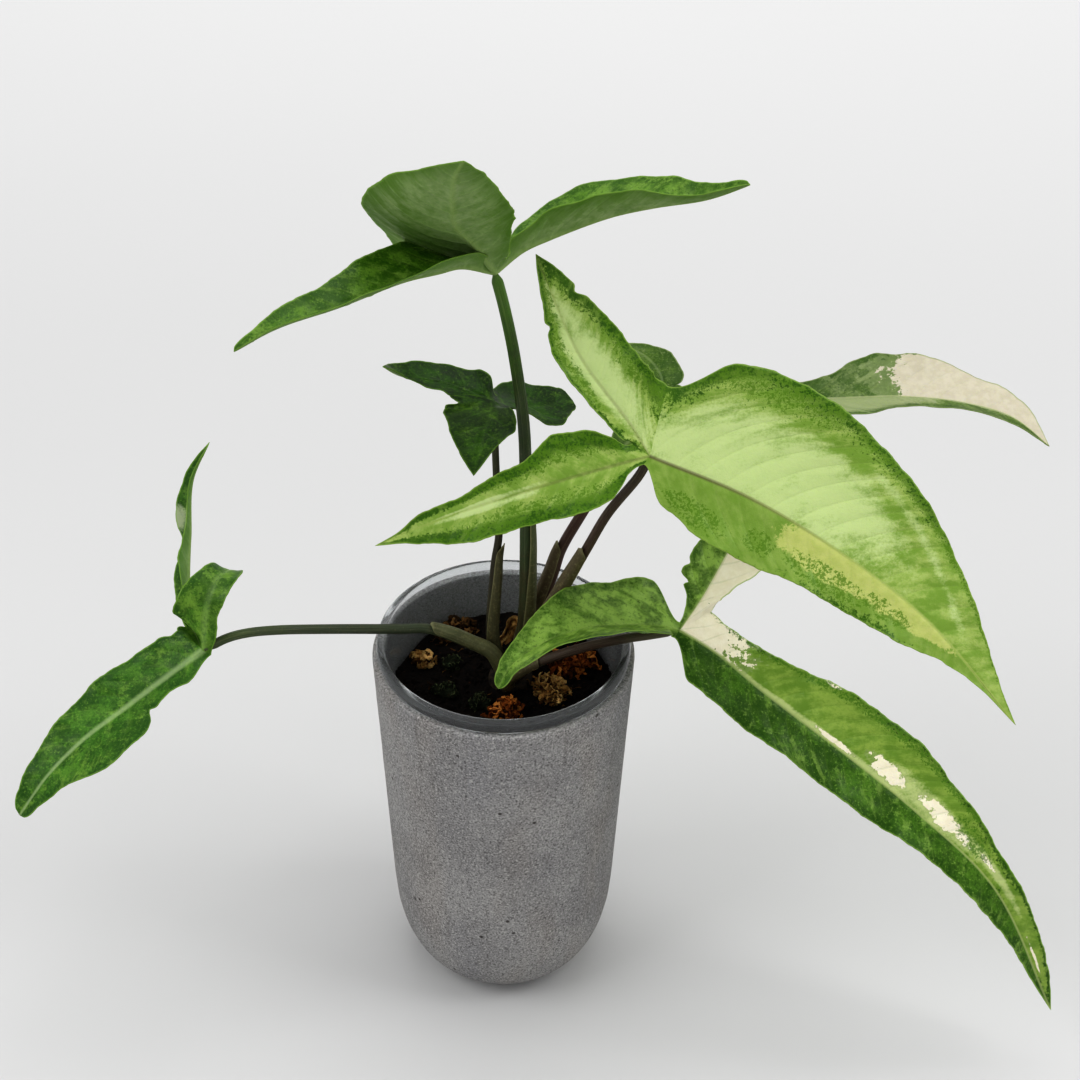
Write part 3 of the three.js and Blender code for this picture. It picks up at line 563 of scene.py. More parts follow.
def half_lobe(leaf, index, side, columns, wave):
    """Points of half a lobe, and what the colours need to know about each point."""
    lobe = leaf["lobes"][index]
    joint = np.array(leaf["joint"], float)
    line = [joint, *lobe["midrib"]]
    rows = round(curve_through(line, 8)[1] / ROW_STEP)
    mid, length = curve_through(line, rows)
    u = np.linspace(0, 1, rows + 1)
    tangent = unit(np.gradient(mid, axis=0))
    normal = along(lobe["face"], u)
    normal = unit(normal - tangent * np.sum(normal * tangent, -1, keepdims=True))
    fold = math.radians(lobe["fold"][side])
    outward = np.cross(normal, tangent) * (1 if side == 0 else -1)
    across = outward * math.cos(fold) + normal * math.sin(fold)
    # A sweep leans the lines across the lobe forwards or back, as the lateral veins lean
    if "sweep" in lobe:
        lean = np.radians(along(lobe["sweep"][side], u))[:, None]
        across = across * np.cos(lean) + tangent * np.sin(lean)

    s = u * length
    width = margin_widths(lobe, index, side, u, s)
    # Near the joint the half reaches for the notch that it shares with the next lobe
    notch = np.array(leaf["sinus"][index if side == 0 else (index + 2) % 3], float) - joint
    root = unit(mid[1] - mid[0])
    ahead = max(0.0, float(notch @ root))
    beside = notch - ahead * root
    neck = lobe.get("neck", (NECK, NECK))[side]
    web = max(neck, WEB * ahead / length)
    blend = smooth(0, neck, u)[:, None]
    reach = (1 - blend) * beside + blend * width[:, None] * across
    reach = reach + (ahead * (1 - smooth(0, web, u)))[:, None] * root

    # The grid, and the phase, which grows by one from each lateral vein to the next
    v = np.linspace(0, 1, columns + 1) ** COLUMN_CROWDING
    points = mid[:, None] + v[None, :, None] * reach[:, None]
    reach_length = np.linalg.norm(reach, axis=1)
    t = reach_length[:, None] * v
    widest = max(width.max(), 1.0)
    phase = (s[:, None] - 0.5 * t - 0.6 * t**2 / widest) / VEIN_SPACING + 0.37 * side + 0.21 * index

    # The half sags a little between midrib and margin, swells between veins, and its margin waves
    settled = smooth(0, 0.12, u)[:, None]
    sag = SAG * reach_length[:, None] * np.sin(math.pi * v)
    quilt = QUILT_HEIGHT * np.abs(np.sin(math.pi * phase)) ** 0.8
    quilt = quilt * smooth(0.02, 0.2, v) * smooth(1, 0.75, v)
    quilt = quilt * smooth(3, 12, width)[:, None]
    wave_length, wave_height = wave
    run = 2 * math.pi * s[:, None] / wave_length + 1.7 * index + 2.3 * side
    waves = np.sin(run) + 0.25 * np.sin(2.3 * run)
    ruffle = wave_height * smooth(2, 14, width)[:, None] * v**3 * waves
    lift = settled * (quilt - sag + ruffle) * smooth(1, 0.93, u)[:, None]
    points = points + lift[..., None] * normal[:, None]

    margin = (1 - v) * np.maximum(reach_length, 0.01)[:, None]
    keys = ("s", "t", "u", "v", "margin", "phase", "settled", "lobe", "side")
    values = (s[:, None], t, u[:, None], v, margin, phase, settled, index, side)
    return points, dict(zip(keys, np.broadcast_arrays(*values)))


# %% [markdown]
# From six halves to one shell
#
# The halves are laid side by side and their shared points merged. The shell then gets an upper and a
# lower skin, which thin out towards the margin. Under the blade the midrib stands out as a rib that
# thins towards the tip, and the lateral veins as fine cords. What the colours need is stored on
# the corners of the faces, so that each half keeps its own values along a shared line.

# %% Skins of a blade
BLADE_THICKNESS = 0.8
EDGE_THICKNESS = 0.3


def reliefs(facts):
    """How far the upper and the lower skin stand out over the even thickness."""
    crest = np.abs(np.sin(math.pi * facts["phase"]))
    cord = np.exp(-((crest / 0.14) ** 2)) * smooth(0, 0.1, facts["v"]) * smooth(1, 0.8, facts["v"])
    rib_width = 1.5 - 0.9 * facts["u"]
    rib = np.exp(-((facts["t"] / rib_width) ** 2))
    upper = facts["settled"] * (-0.3 * (1 - 0.6 * facts["u"]) * rib - 0.08 * cord)
    lower = (0.95 - 0.75 * facts["u"]) * rib + 0.13 * facts["settled"] * cord
    return upper, lower


def without_repeats(corners):
    """Faces without the corners that merging made the same, and where each came from."""
    quads, origin = [], []
    for i, face in enumerate(corners):
        keep = [k for k in range(4) if face[k] != face[k - 1]]
        if len(keep) > 2:
            quads.append(tuple(int(face[k]) for k in keep))
            origin.append((i, keep))
    return quads, origin


def point_normals(points, corners):
    """Unit normal at each point, from the quads round it."""
    a, b, c, d = points[corners].transpose(1, 0, 2)
    face_normal = np.cross(c - a, d - b)
    normal = np.zeros_like(points)
    for k in range(4):
        np.add.at(normal, corners[:, k], face_normal)
    return unit(normal)


def open_edges(corners, count):
    """Edges that only one face has: the point where each starts, and where it ends."""
    directed = np.concatenate([corners[:, [k, (k + 1) % 4]] for k in range(4)])
    directed = directed[directed[:, 0] != directed[:, 1]]
    codes = directed[:, 0] * count + directed[:, 1]
    return directed[~np.isin(codes, directed[:, 1] * count + directed[:, 0])].T


# %% Blade mesh
def six_halves(leaf, columns, wave):
    """Points, quads and facts of the six halves, one half after another."""
    points, faces, facts, first = [], [], [], 0
    for index, side in (divmod(half, 2) for half in range(6)):
        grid, known = half_lobe(leaf, index, side, columns, wave)
        corner = first + np.arange(known["t"].size).reshape(known["t"].shape)
        faces.append(grid_faces(corner) if side == 0 else grid_faces(corner)[:, ::-1])
        points.append(grid.reshape(-1, 3))
        facts.append({key: value.reshape(-1) for key, value in known.items()})
        first += corner.size
    facts = {key: np.concatenate([known[key] for known in facts]) for key in facts[0]}
    return np.vstack(points), np.vstack(faces), facts


def blade_mesh(name, leaf, columns, wave, fields_of):
    points, faces, facts = six_halves(leaf, columns, wave)
    # Points that halves share become one
    kept, merged = np.unique(np.round(points, 3), axis=0, return_inverse=True)
    merged, count = merged.reshape(-1), len(kept)
    shared = np.bincount(merged, minlength=count)

    def mean(values):
        return np.bincount(merged, values, count) / shared

    centre = np.stack([mean(points[:, k]) for k in range(3)], -1)
    corners = merged[faces]
    normal = point_normals(centre, corners)
    # Two skins, and a rim between them
    upper, lower = reliefs(facts)
    half = 0.5 * (EDGE_THICKNESS + (BLADE_THICKNESS - EDGE_THICKNESS) * smooth(0, 5, facts["margin"]))
    top = centre + normal * (mean(half + upper))[:, None]
    bottom = centre - normal * (mean(half + lower))[:, None]

    start, end = open_edges(corners, count)
    rim = np.stack([end, start, start + count, end + count], -1)
    quads, origin = without_repeats(corners)
    under = [[count + corner for corner in quad[::-1]] for quad in quads]
    mesh = mesh_from(name, np.vstack([top, bottom]), [quads, under, rim])
    sides = np.repeat([0, 1, 0], [len(quads), len(quads), len(rim)])
    mesh.polygons.foreach_set("material_index", sides.astype(np.int32))

    # Corner by corner, what the finish reads. A corner of the rim takes any half's values.
    source = [faces[i][keep] for i, keep in origin]
    last_of = np.zeros(count, int)
    last_of[merged] = np.arange(len(merged))
    loops = np.concatenate([*source, *(quad[::-1] for quad in source), last_of[rim % count].ravel()])
    stored = {key: facts[key] for key in ("s", "t", "margin", "phase")}
    for key, values in {**fields_of(facts), **stored}.items():
        keep_numbers(mesh, key, "CORNER", values[loops])
    return mesh


# %% [markdown]
# Where the colours lie
#
# Variegation comes from patches of cells that lack green. Noise alone would strew them anywhere, and
# a picture laid over the blade would blur. So each patch is an ellipse in the lobe's own coordinates:
# u from base to tip and v from midrib to margin. A field is above zero inside its patches, and the
# finish breaks its boundary up with noise, as the real boundary is toothed.

# %% Patches
# Each row: lobe, half (0 left, 1 right, None both), centre u and v, half lengths in u and v
CREAM_PATCHES = {
    "back_leaf": [(0, 0, 0.86, 0.5, 0.28, 1.3)],
    "low_leaf": [
        (1, 1, 0.4, 0.5, 0.9, 2.0), (0, 0, 0.0, 0.6, 0.115, 1.4), (0, 0, 0.425, 0.24, 0.036, 0.14),
        (0, 0, 0.555, 0.3, 0.055, 0.17), (0, 0, 0.33, 0.08, 0.04, 0.05), (0, 0, 0.66, 0.4, 0.02, 0.08),
        (0, 0, 0.88, 0.3, 0.04, 0.08), (0, 0, 0.27, 0.98, 0.014, 0.06),
    ],
    "lime_leaf": [(0, 1, 0.47, 0.25, 0.15, 0.42), (0, 1, 0.64, 0.2, 0.15, 0.4)],
}
LIME_PATCHES = {
    "lime_leaf": [
        (0, 0, 0.42, 0.25, 0.6, 0.72), (0, 0, 0.75, 0.4, 0.35, 0.66), (0, 1, 0.2, 0.35, 0.4, 0.85),
        (0, 0, 0.2, 0.4, 0.25, 0.55), (0, 1, 0.5, 0.3, 0.3, 0.62), (0, 1, 0.8, 0.4, 0.26, 0.66),
        (1, 0, 0.45, 0.2, 0.5, 0.7), (1, 1, 0.4, 0.15, 0.5, 0.72), (2, None, 0.4, 0.15, 0.6, 0.5),
    ],
    "low_leaf": [
        (0, 0, 0.26, 0.4, 0.22, 0.7), (0, 0, 0.5, 0.35, 0.26, 0.65), (0, 0, 0.82, 0.4, 0.15, 0.5),
    ],
}
PALE_PATCHES = {
    "lime_leaf": [
        (0, 0, 0.2, 0.2, 0.36, 0.5), (0, 0, 0.35, 0.4, 0.24, 0.32), (1, 1, 0.4, 0.12, 0.42, 0.5),
        (1, 0, 0.5, 0.1, 0.4, 0.45), (2, None, 0.6, 0.1, 0.2, 0.12),
    ],
    "low_leaf": [
        (0, 0, 0.3, 0.04, 0.3, 0.09), (0, 0, 0.53, 0.25, 0.12, 0.3), (0, 0, 0.68, 0.4, 0.1, 0.2),
    ],
    "back_leaf": [(0, 1, 0.5, 0.3, 0.2, 0.6), (0, 1, 0.8, 0.1, 0.16, 0.14)],
    "side_leaf": [(0, None, 0.66, 1.0, 0.06, 0.8)],
}
DARK_PATCHES = {
    "lime_leaf": [
        (0, 0, 0.2, 1.05, 0.16, 0.32), (0, 0, 0.6, 1.04, 0.4, 0.16), (0, 1, 0.13, 0.7, 0.08, 0.25),
        (0, 1, 0.3, 0.6, 0.04, 0.2), (0, 1, 0.47, 0.6, 0.1, 0.26), (0, 1, 0.62, 0.5, 0.07, 0.22),
        (1, 0, 0.5, 0.7, 0.2, 0.4), (1, 0, 0.85, 0.6, 0.2, 0.6), (1, 1, 0.3, 1.0, 0.4, 0.4),
        (2, 0, 0.4, 0.9, 0.4, 0.6), (2, 1, 0.35, 0.9, 0.4, 0.5),
    ],
    "low_leaf": [(0, 0, 0.4, 1.05, 0.4, 0.25), (0, 0, 0.62, 0.5, 0.05, 0.3)],
}
PATCHES = {"cream": CREAM_PATCHES, "lime": LIME_PATCHES, "pale": PALE_PATCHES, "dark": DARK_PATCHES}
# How light the green of each lobe is, and how clearly its midrib shows, from 0 to 1
LIFTS = by_leaf(
    (0.2, 0.5, 0.3), (0.15, 0.0, 0.0), (0.3, 0.3, 0.3),
    (0.3, 0.0, 0.0), (0.1, 1.0, 1.0), (0.5, 0.2, 0.6),
)
RIBS = by_leaf(
    (0.5, 0.2, 0.1), (0.1, 0.1, 0.1), (0.7, 0.3, 0.35),
    (0.5, 0.3, 0.3), (0.7, 0.5, 0.15), (0.3, 0.55, 0.15),
)
# A pale streak runs along one margin of the lime leaf: how far in it lies, and its width
STREAK_PLACE, STREAK_WIDTH = 8.0, 3.0
OUTSIDE = -2.0


def field(patches, facts):
    best = np.full(facts["s"].shape, OUTSIDE)
    for lobe, half, u, v, reach_u, reach_v in patches:
        here = (facts["lobe"] == lobe) & ((facts["side"] == half) if half is not None else True)
        inside = 1 - ((facts["u"] - u) / reach_u) ** 2 - ((facts["v"] - v) / reach_v) ** 2
        best = np.where(here, np.maximum(best, inside), best)
    return best


def fields_of(name, facts):
    """What the finish of a blade reads from its corners, besides their own coordinates."""
    lobe, side = facts["lobe"], facts["side"]
    fields = {kind: field(patches.get(name, ()), facts) for kind, patches in PATCHES.items()}
    if name == "lime_leaf":
        line = np.exp(-(((facts["margin"] - STREAK_PLACE) / STREAK_WIDTH) ** 2))
        line = line * smooth(0.36, 0.46, facts["u"]) * smooth(0.84, 0.74, facts["u"])
        streak = np.where((lobe == 0) & (side == 0), 1.3 * line - 1, -1)
        fields["pale"] = np.maximum(fields["pale"], streak)
    fields["lift"] = np.choose(lobe, LIFTS[name])
    # The right half of the first lobe, which the lower face paints paler as painted light
    fields["half"] = ((lobe == 0) & (side == 1)).astype(float)
    fields["rib"] = np.choose(lobe, RIBS[name])
    return fields


# %% [markdown]
# The leaf finish
#
# A blade is a satin green skin with many grains in it. One recipe makes every blade's finish, so that
# all leaves look grown on one plant. Clouds of two sizes vary the green. Lateral veins are drawn from
# the phase that the mesh carries, so they follow the quilting. Lime and cream areas come in by their
# fields, with speckles where the real leaf sheds single dark cells along a boundary. The lower face
# is the same skin, paler and greyer, with its veins standing out.

# %% Colours of the leaves
# Deep, middle and light green, lateral vein, and midrib
LOOKS = by_leaf(
    ("2d5608", "51791c", "83a24c", "80984c", "93a867"),
    ("193404", "2e520c", "64842c", "4f7a24", "5f8534"),
    ("345e08", "567c18", "8ca650", "a3b86c", "5f563f"),
    ("3a5a10", "5a752c", "8c9a68", "8a9c68", "8f9f70"),
    ("2c5206", "487216", "92b058", "6c8c3a", "a3b074"),
    ("25500e", "437420", "7ea044", "6a8c40", "a3b886"),
)
RIB_TIPS = {"lime_leaf": "a3b268", "back_leaf": "b5b890"}
RIB_WIDTHS = by_leaf(0.7, 0.6, 0.6, 0.5, 0.6, 1.3)
# Painted light: the low leaf's cream is painted lighter than the back leaf's, to make up for the shade
# that the lime leaf casts over its base
CREAMS = {
    "back_leaf": ("c4beab", "b5ae98"), "low_leaf": ("eae4cf", "dfd7bc"),
    "lime_leaf": ("bfc47c", "a8b462"),
}
LIMES = {"lime_leaf": ("7c9a42", "a0b466"), "low_leaf": ("6c8c34", "8da54e")}
PALES = {"lime_leaf": "bfcf94", "low_leaf": "bcc78c", "back_leaf": "9ca67c", "side_leaf": "a3ad8c"}


# %% Grains of a leaf
class LeafFinish(Finish):
    """The finish of one face of a blade, with the four grains that all its parts share."""

    def __init__(self, name):
        super().__init__(name)
        self.phase, self.t = self.value("phase"), self.value("t")
        self.cloud, self.mottle = self.noise(16, 2.0), self.noise(3.0, 3.0, 0.65)
        self.speck = self.noise(0.95, 3.0, 0.75)
        fan = self.vector(
            self.times(self.phase, 1.7), self.times(self.t, 0.12), self.times(self.cloud, 0.5),
        )
        inputs = {"Vector": fan, "Scale": 1.0, "Detail": 4.0, "Roughness": 0.6}
        self.streak = self.out("ShaderNodeTexNoise", inputs)

    def grown(self, value, *grains):
        """A value with grains added by amount, so that a border through it breaks up into cells."""
        for grain, amount in zip(grains[::2], grains[1::2]):
            value = self.math("MULTIPLY_ADD", self.math("SUBTRACT", grain, 0.5), amount, value)
        return value


# %% Green and variegated skin
def green_skin(f, deep, middle, light):
    """Cells of a green leaf: clouds of two greens, painted shade along the margin, lighter blotches,
    and grain.
    """
    lift = f.value("lift")
    tone = f.math("MULTIPLY_ADD", f.cloud, 0.55, f.times(f.mottle, 0.45))
    green = f.over(deep, middle, f.grown(tone, f.speck, 0.25), 0.42, 0.62)
    glow = f.ramp(f.grown(f.noise(8, 3.0, 0.6), f.streak, 0.5), 0.42, 0.6, 0.35, 1.0)
    green = f.mix(f.times(lift, glow), green, light)
    # Painted shade: the green darkens in a band along the margin, where the quilted blade shades
    # itself; the real margin is a deeper green too
    edge = f.grown(f.ramp(f.value("margin"), 0.5, 6.5), f.mottle, 1.2)
    green = f.mix(f.ramp(edge, 0.1, 0.7, 0.6, 0.0), green, deep)
    lifted = f.math("MULTIPLY_ADD", lift, 1.0, 0.5)
    blotch = f.grown(f.noise(5, 3.0, 0.65), f.speck, 0.35, lifted, 0.1)
    green = f.over(green, light, blotch, 0.57, 0.72, 0.4)
    green = f.over(green, light, f.streak, 0.54, 0.7, 0.4)
    green = f.over(green, deep, f.streak, 0.46, 0.32, 0.4)
    green = f.over(green, light, f.speck, 0.56, 0.68, 0.4)
    return f.over(green, f.mix(0.4, deep, "0a1402"), f.speck, 0.45, 0.34, 0.5)


def variegated(f, name, middle, skin):
    """Lime, pale and cream areas over the green, each ending in teeth and single cells."""
    if name in LIMES:
        dark, light = LIMES[name]
        lime = f.over(dark, light, f.grown(f.streak, f.mottle, 0.4), 0.36, 0.64)
        lime = f.mix(f.times(f.value("half"), 0.55), lime, f.mix(0.35, dark, "5b7a2c"))
        lime = f.over(lime, dark, f.speck, 0.5, 0.34, 0.4)
        lime = f.over(lime, dark, f.noise(4, 3.0, 0.7), 0.52, 0.66, 0.4)
        skin = f.over(skin, lime, f.grown(f.value("lime"), f.mottle, 1.2, f.speck, 2.0), -0.12, 0.2)
    if name in PALES:
        haze = f.grown(f.value("pale"), f.streak, 2.0, f.speck, 1.2)
        skin = f.over(skin, PALES[name], haze, -0.3, 0.8, 0.85)
    if name in CREAMS:
        light, dark = CREAMS[name]
        cream = f.over(light, dark, f.mottle, 0.35, 0.65, 0.5)
        size, torn = (2.6, 2.4) if name == "low_leaf" else (5, 1.0)
        limit = f.grown(f.value("cream"), f.streak, 0.9 * torn, f.noise(size, 2.0, 0.6), 1.3 * torn)
        if name == "lime_leaf":
            skin = f.over(skin, cream, f.grown(limit, f.speck, 1.4), -0.15, 0.2, 0.85)
        else:
            skin = f.over(skin, f.mix(0.45, skin, "93a070"), limit, -0.56, -0.48, 0.8)
            limit = f.grown(limit, f.mottle, 0.4 * torn, f.speck, 0.5 * torn)
            skin = f.over(skin, cream, limit, -0.03, 0.03)
    if name in DARK_PATCHES:
        spots = f.grown(f.math("MINIMUM", f.value("dark"), 0.3), f.speck, 4.0, f.mottle, 2.2)
        skin = f.over(skin, middle, spots, 0.1, 0.45, 0.8)
    return skin


# %% Leaf finish
def lower_skin(f, skin, middle, margin, vein, fine):
    """The same skin seen from below: paler, streaked, greener towards the margin, with painted light on
    one half.
    """
    # Painted light: the right half of the first lobe is painted paler from below, as if it were more
    # lit than the left
    skin = f.mix(f.ramp(f.value("half"), 0, 1, 0.6, 0.75), skin, "829e5c")
    skin = f.over(skin, "a3b585", f.streak, 0.42, 0.64, 0.5)
    skin = f.mix(f.ramp(f.grown(f.t, f.mottle, 10.0), 3, 20, 0.4, 0.0), skin, "9fb183")
    skin = f.mix(f.ramp(f.grown(margin, f.mottle, 8.0), 0, 9, 0.55, 0.0), skin, middle)
    skin = f.mix(f.times(fine, 0.1), skin, "93ab6c")
    skin = f.mix(f.times(vein, 0.32), skin, "9db67a")
    return f.over(skin, middle, f.mottle, 0.4, 0.65, 0.3)


def leaf_finish(name, below):
    deep, middle, light, vein_tone, rib_tone = LOOKS[name]
    f = LeafFinish(f"{name} {'lower' if below else 'upper'} face")
    s, margin = f.value("s"), f.value("margin")
    skin = variegated(f, name, middle, green_skin(f, deep, middle, light))

    crest = f.math("ABSOLUTE", f.math("SUBTRACT", f.math("FRACT", f.phase), 0.5))
    vein = f.times(f.ramp(crest, 0.4, 0.5), f.ramp(margin, 0.6, 6))
    skin = f.mix(f.times(vein, 0.05 if name in ("lime_leaf", "back_leaf") else 0.14), skin, vein_tone)
    if below:
        fine = f.math("FRACT", f.times(f.phase, 4.0))
        fine = f.ramp(f.math("ABSOLUTE", f.math("SUBTRACT", fine, 0.5)), 0.3, 0.5)
        skin = lower_skin(f, skin, middle, margin, vein, fine)

    reach = f.ramp(s, 0, 120, 1.3 if below else RIB_WIDTHS[name], 0.4)
    rib = f.ramp(f.math("DIVIDE", f.math("ABSOLUTE", f.t), reach), 0.3, 1.7, 1.0, 0.0)
    rib_tone = "94aa6a" if below else f.over(rib_tone, RIB_TIPS.get(name, rib_tone), s, 10, 90)
    skin = f.mix(f.times(rib, 0.5 if below else f.value("rib")), skin, rib_tone)
    skin = f.over(skin, light, margin, 0.6, 0.2, 0.6)

    pores = f.math("MULTIPLY_ADD", f.speck, 0.7, f.cells(0.55, "DISTANCE_TO_EDGE"))
    normal = f.bump(f.cells(2.6, "DISTANCE_TO_EDGE"), 0.12, 0.3, f.bump(pores, 0.08, 0.6))
    normal = f.bump(vein, 0.25 if below else -0.12, 0.5, f.bump(f.mottle, 0.45, 0.4, normal))
    smoothest, roughest = (0.52, 0.64) if below else (0.32, 0.46)
    return f.set(
        Base_Color=skin, Roughness=f.ramp(f.mottle, 0.3, 0.7, smoothest, roughest), Normal=normal,
        Subsurface_Weight=0.1, Subsurface_Radius=(0.7, 1.0, 0.2), Subsurface_Scale=1.0 * MM,
        Specular_IOR_Level=0.12 if below else 0.25,
    )


# %% Blades
COLUMNS = by_leaf(30, 18, 40, 22, 26, 22)
# Length and height of the waves in the margin, in millimetres
WAVES = by_leaf((34, 0.7), (21, 0.8), (37, 1.0), (29, 0.9), (31, 1.1), (23, 1.1))
SLOTS = by_leaf("dark_leaf", "dark_leaf", "lime_leaf", "cream_leaf", "cream_leaf", "dark_leaf")
for name, leaf in LEAVES.items():
    fields = functools.partial(fields_of, name)
    mesh = blade_mesh(f"{name}_blade_skin", leaf, COLUMNS[name], WAVES[name], fields)
    blade = show(mesh, f"{name}_blade_skin", [leaf_finish(name, False), leaf_finish(name, True)])
    finished(blade, SLOTS[name], f"{name}_blade")
    print(blade.name, triangles(blade), "triangles", round(volume(mesh)), "cubic millimetres")

# %% [markdown]
# Growing pieces by rule
#
# Stalks, turned walls, crumbs and moss follow rules. Loops in Python could make them, but Geometry
# Nodes trees are quicker and keep each size as a named input, in metres, that can be tried by hand.
# The result becomes a plain mesh, because an export keeps no modifiers.


# %% Geometry Nodes helpers
class Growth(Graph):
    """A Geometry Nodes tree under construction, with one named input for each size."""

    def __init__(self, name, **sizes):
        self.tree = bpy.data.node_groups.new(name, "GeometryNodeTree")
        self.socket("Geometry", "Geometry", "OUTPUT")
        self.socket("Geometry", "Geometry")
        self.socket("Material", "Material")
        kinds = {float: "Float", int: "Int", tuple: "Vector"}
        for key, value in sizes.items():
            self.socket(key, kinds[type(value)]).default_value = value
        self.given = self.tree.nodes.new("NodeGroupInput").outputs
        self.place, self.normal = self.geo("InputPosition"), self.geo("InputNormal")
        self.index = self.geo("InputIndex")

    def socket(self, name, kind, way="INPUT"):
        return self.tree.interface.new_socket(name, in_out=way, socket_type=f"NodeSocket{kind}")

    def geo(self, kind, **inputs):
        """First output of a new Geometry Nodes node."""
        return self.out(f"GeometryNode{kind}", spaced(inputs))

    def vectors(self, operation, a, b=(0, 0, 0)):
        return self.add("ShaderNodeVectorMath", {0: a, 1: b}, operation=operation).outputs

    def scaled(self, vector, factor):
        return self.out("ShaderNodeVectorMath", {0: vector, "Scale": factor}, operation="SCALE")

    def parts(self, vector):
        return self.add("ShaderNodeSeparateXYZ", {0: vector}).outputs

    def store(self, geometry, name, value, domain="POINT"):
        inputs = {"Geometry": geometry, "Name": name, "Value": value}
        return self.out("GeometryNodeStoreNamedAttribute", inputs, domain=domain)

    def stored(self, name):
        return self.geo("InputNamedAttribute", Name=name)

    def move(self, geometry, offset):
        return self.geo("SetPosition", Geometry=geometry, Offset=offset)

    def shaken(self, geometry, density, detail, reach):
        """Every point moved by noise, by up to about half the reach."""
        inputs = {"Vector": self.place, "Scale": density, "Detail": detail}
        noise = self.add("ShaderNodeTexNoise", inputs).outputs["Color"]
        shift = self.vectors("SUBTRACT", noise, (0.5, 0.5, 0.5))["Vector"]
        return self.move(geometry, self.scaled(shift, reach))

    def random(self, low, high, seed):
        """A random number, or a random vector where low and high are vectors."""
        wide = isinstance(low, tuple)
        first = 0 if wide else 2
        node = self.add(
            "FunctionNodeRandomValue", {first: low, first + 1: high, "Seed": seed},
            data_type="FLOAT_VECTOR" if wide else "FLOAT",
        )
        return node.outputs[0 if wide else 1]

    def scattered(self, surface, density, instance, low, high, seed):
        """Copies of an instance strewn over a surface, turned anyhow and scaled from low to high."""
        points = self.geo("DistributePointsOnFaces", Mesh=surface, Density=density, Seed=seed)
        turn = self.out("FunctionNodeEulerToRotation", {0: self.random((0.0,) * 3, (math.tau,) * 3, 1)})
        size = self.random(low, high, 2)
        return self.geo("InstanceOnPoints", Points=points, Instance=instance, Rotation=turn, Scale=size)

    def close(self, geometry):
        whole = self.geo("RealizeInstances", Geometry=geometry)
        whole = self.geo("SetMaterial", Geometry=whole, Material=self.given["Material"])
        self.add("NodeGroupOutput", {"Geometry": whole})
        print(self.tree.name, "tree:", len(self.tree.nodes), "nodes")

    def grow(self, name, mesh, material, **sizes):
        """The plain piece that the tree makes from a mesh."""
        host = bpy.data.objects.new("host", mesh)
        bpy.context.collection.objects.link(host)
        modifier = host.modifiers.new("growth", "NODES")
        modifier.node_group = self.tree
        for socket in self.tree.interface.items_tree:
            if socket.name in sizes:
                modifier[socket.identifier] = sizes[socket.name]
            elif socket.name == "Material":
                modifier[socket.identifier] = material
        return baked(host, name)


# %% Line mesh
def line_mesh(points):
    """Open line of points in millimetres, for a tree to follow."""
    mesh = bpy.data.meshes.new("line")
    edges = [(i, i + 1) for i in range(len(points) - 1)]
    mesh.from_pydata((np.asarray(points) * MM).tolist(), edges, [])
    return mesh


# %% [markdown]
# The stalks
#
# A stalk is a firm round stem that thickens towards its foot, has fine ridges along it, and bulges on
# the side of its sheath. A curve with a round bevel would be quick, but could have neither ridges nor
# a bulge. So the tree carries a ring of skin along the line, and then moves its points. The line
# stops just short of the joint, where the stalk narrows into the ribs of the three lobes.

# %% Stalk tree
stalk = Growth(
    "stalk", foot_radius=0.002, top_radius=0.0015, joint_reach=0.03, sheath_side=(1.0, 0.0, 0.0),
    sheath_reach=0.4, sheath_depth=0.0015, ridge_height=0.0001, ridges=9.0,
)
STALK_SIDES = 32
g = stalk.given
u = stalk.geo("SplineParameter")
girth = stalk.math("SUBTRACT", g["top_radius"], g["foot_radius"])
girth = stalk.math("MULTIPLY_ADD", girth, stalk.math("SQRT", u), g["foot_radius"])
narrow = stalk.ramp(u, stalk.math("SUBTRACT", 1.0, g["joint_reach"]), 1.0, 1.0, 0.4)
girth = stalk.times(girth, stalk.ramp(u, 0.0, 0.08, 0.8, 1.0), narrow)
line = stalk.store(stalk.geo("MeshToCurve", Mesh=g["Geometry"]), "rail", u)
ring = stalk.geo("CurvePrimitiveCircle", Resolution=STALK_SIDES, Radius=1.0)
ring = stalk.store(ring, "around", stalk.math("DIVIDE", stalk.index, STALK_SIDES))
skin = stalk.geo("CurveToMesh", Curve=line, Profile_Curve=ring, Scale=girth, Fill_Caps=True)
rail = stalk.stored("rail")
side = stalk.vectors("NORMALIZE", g["sheath_side"])["Vector"]
facing = stalk.math("MAXIMUM", stalk.vectors("DOT_PRODUCT", stalk.normal, side)["Value"], 0.0)
fade = stalk.ramp(rail, stalk.times(g["sheath_reach"], 0.75), g["sheath_reach"], 1.0, 0.0)
bulge = stalk.times(stalk.ramp(rail, 0.0, 0.1), fade, facing, g["sheath_depth"])
turns = stalk.times(stalk.stored("around"), g["ridges"], math.tau)
ridge = stalk.times(stalk.math("SINE", turns), g["ridge_height"])
skin = stalk.move(skin, stalk.scaled(side, bulge))
skin = stalk.move(skin, stalk.scaled(stalk.normal, ridge))
stalk.close(stalk.geo("SetShadeSmooth", Geometry=skin))

# %% [markdown]
# Sheaths
#
# The lower part of a stalk is wrapped by the sheath that once held the next leaf. It is a thin shell
# that follows the stalk, opens along the stalk's other side, and ends in a free rounded tip. A tube
# cut open would do, but its cut edge would be square. Here the wall is a grid that wraps round the
# stalk by an angle, so its edge can thin out, flare a little and close over the tip.


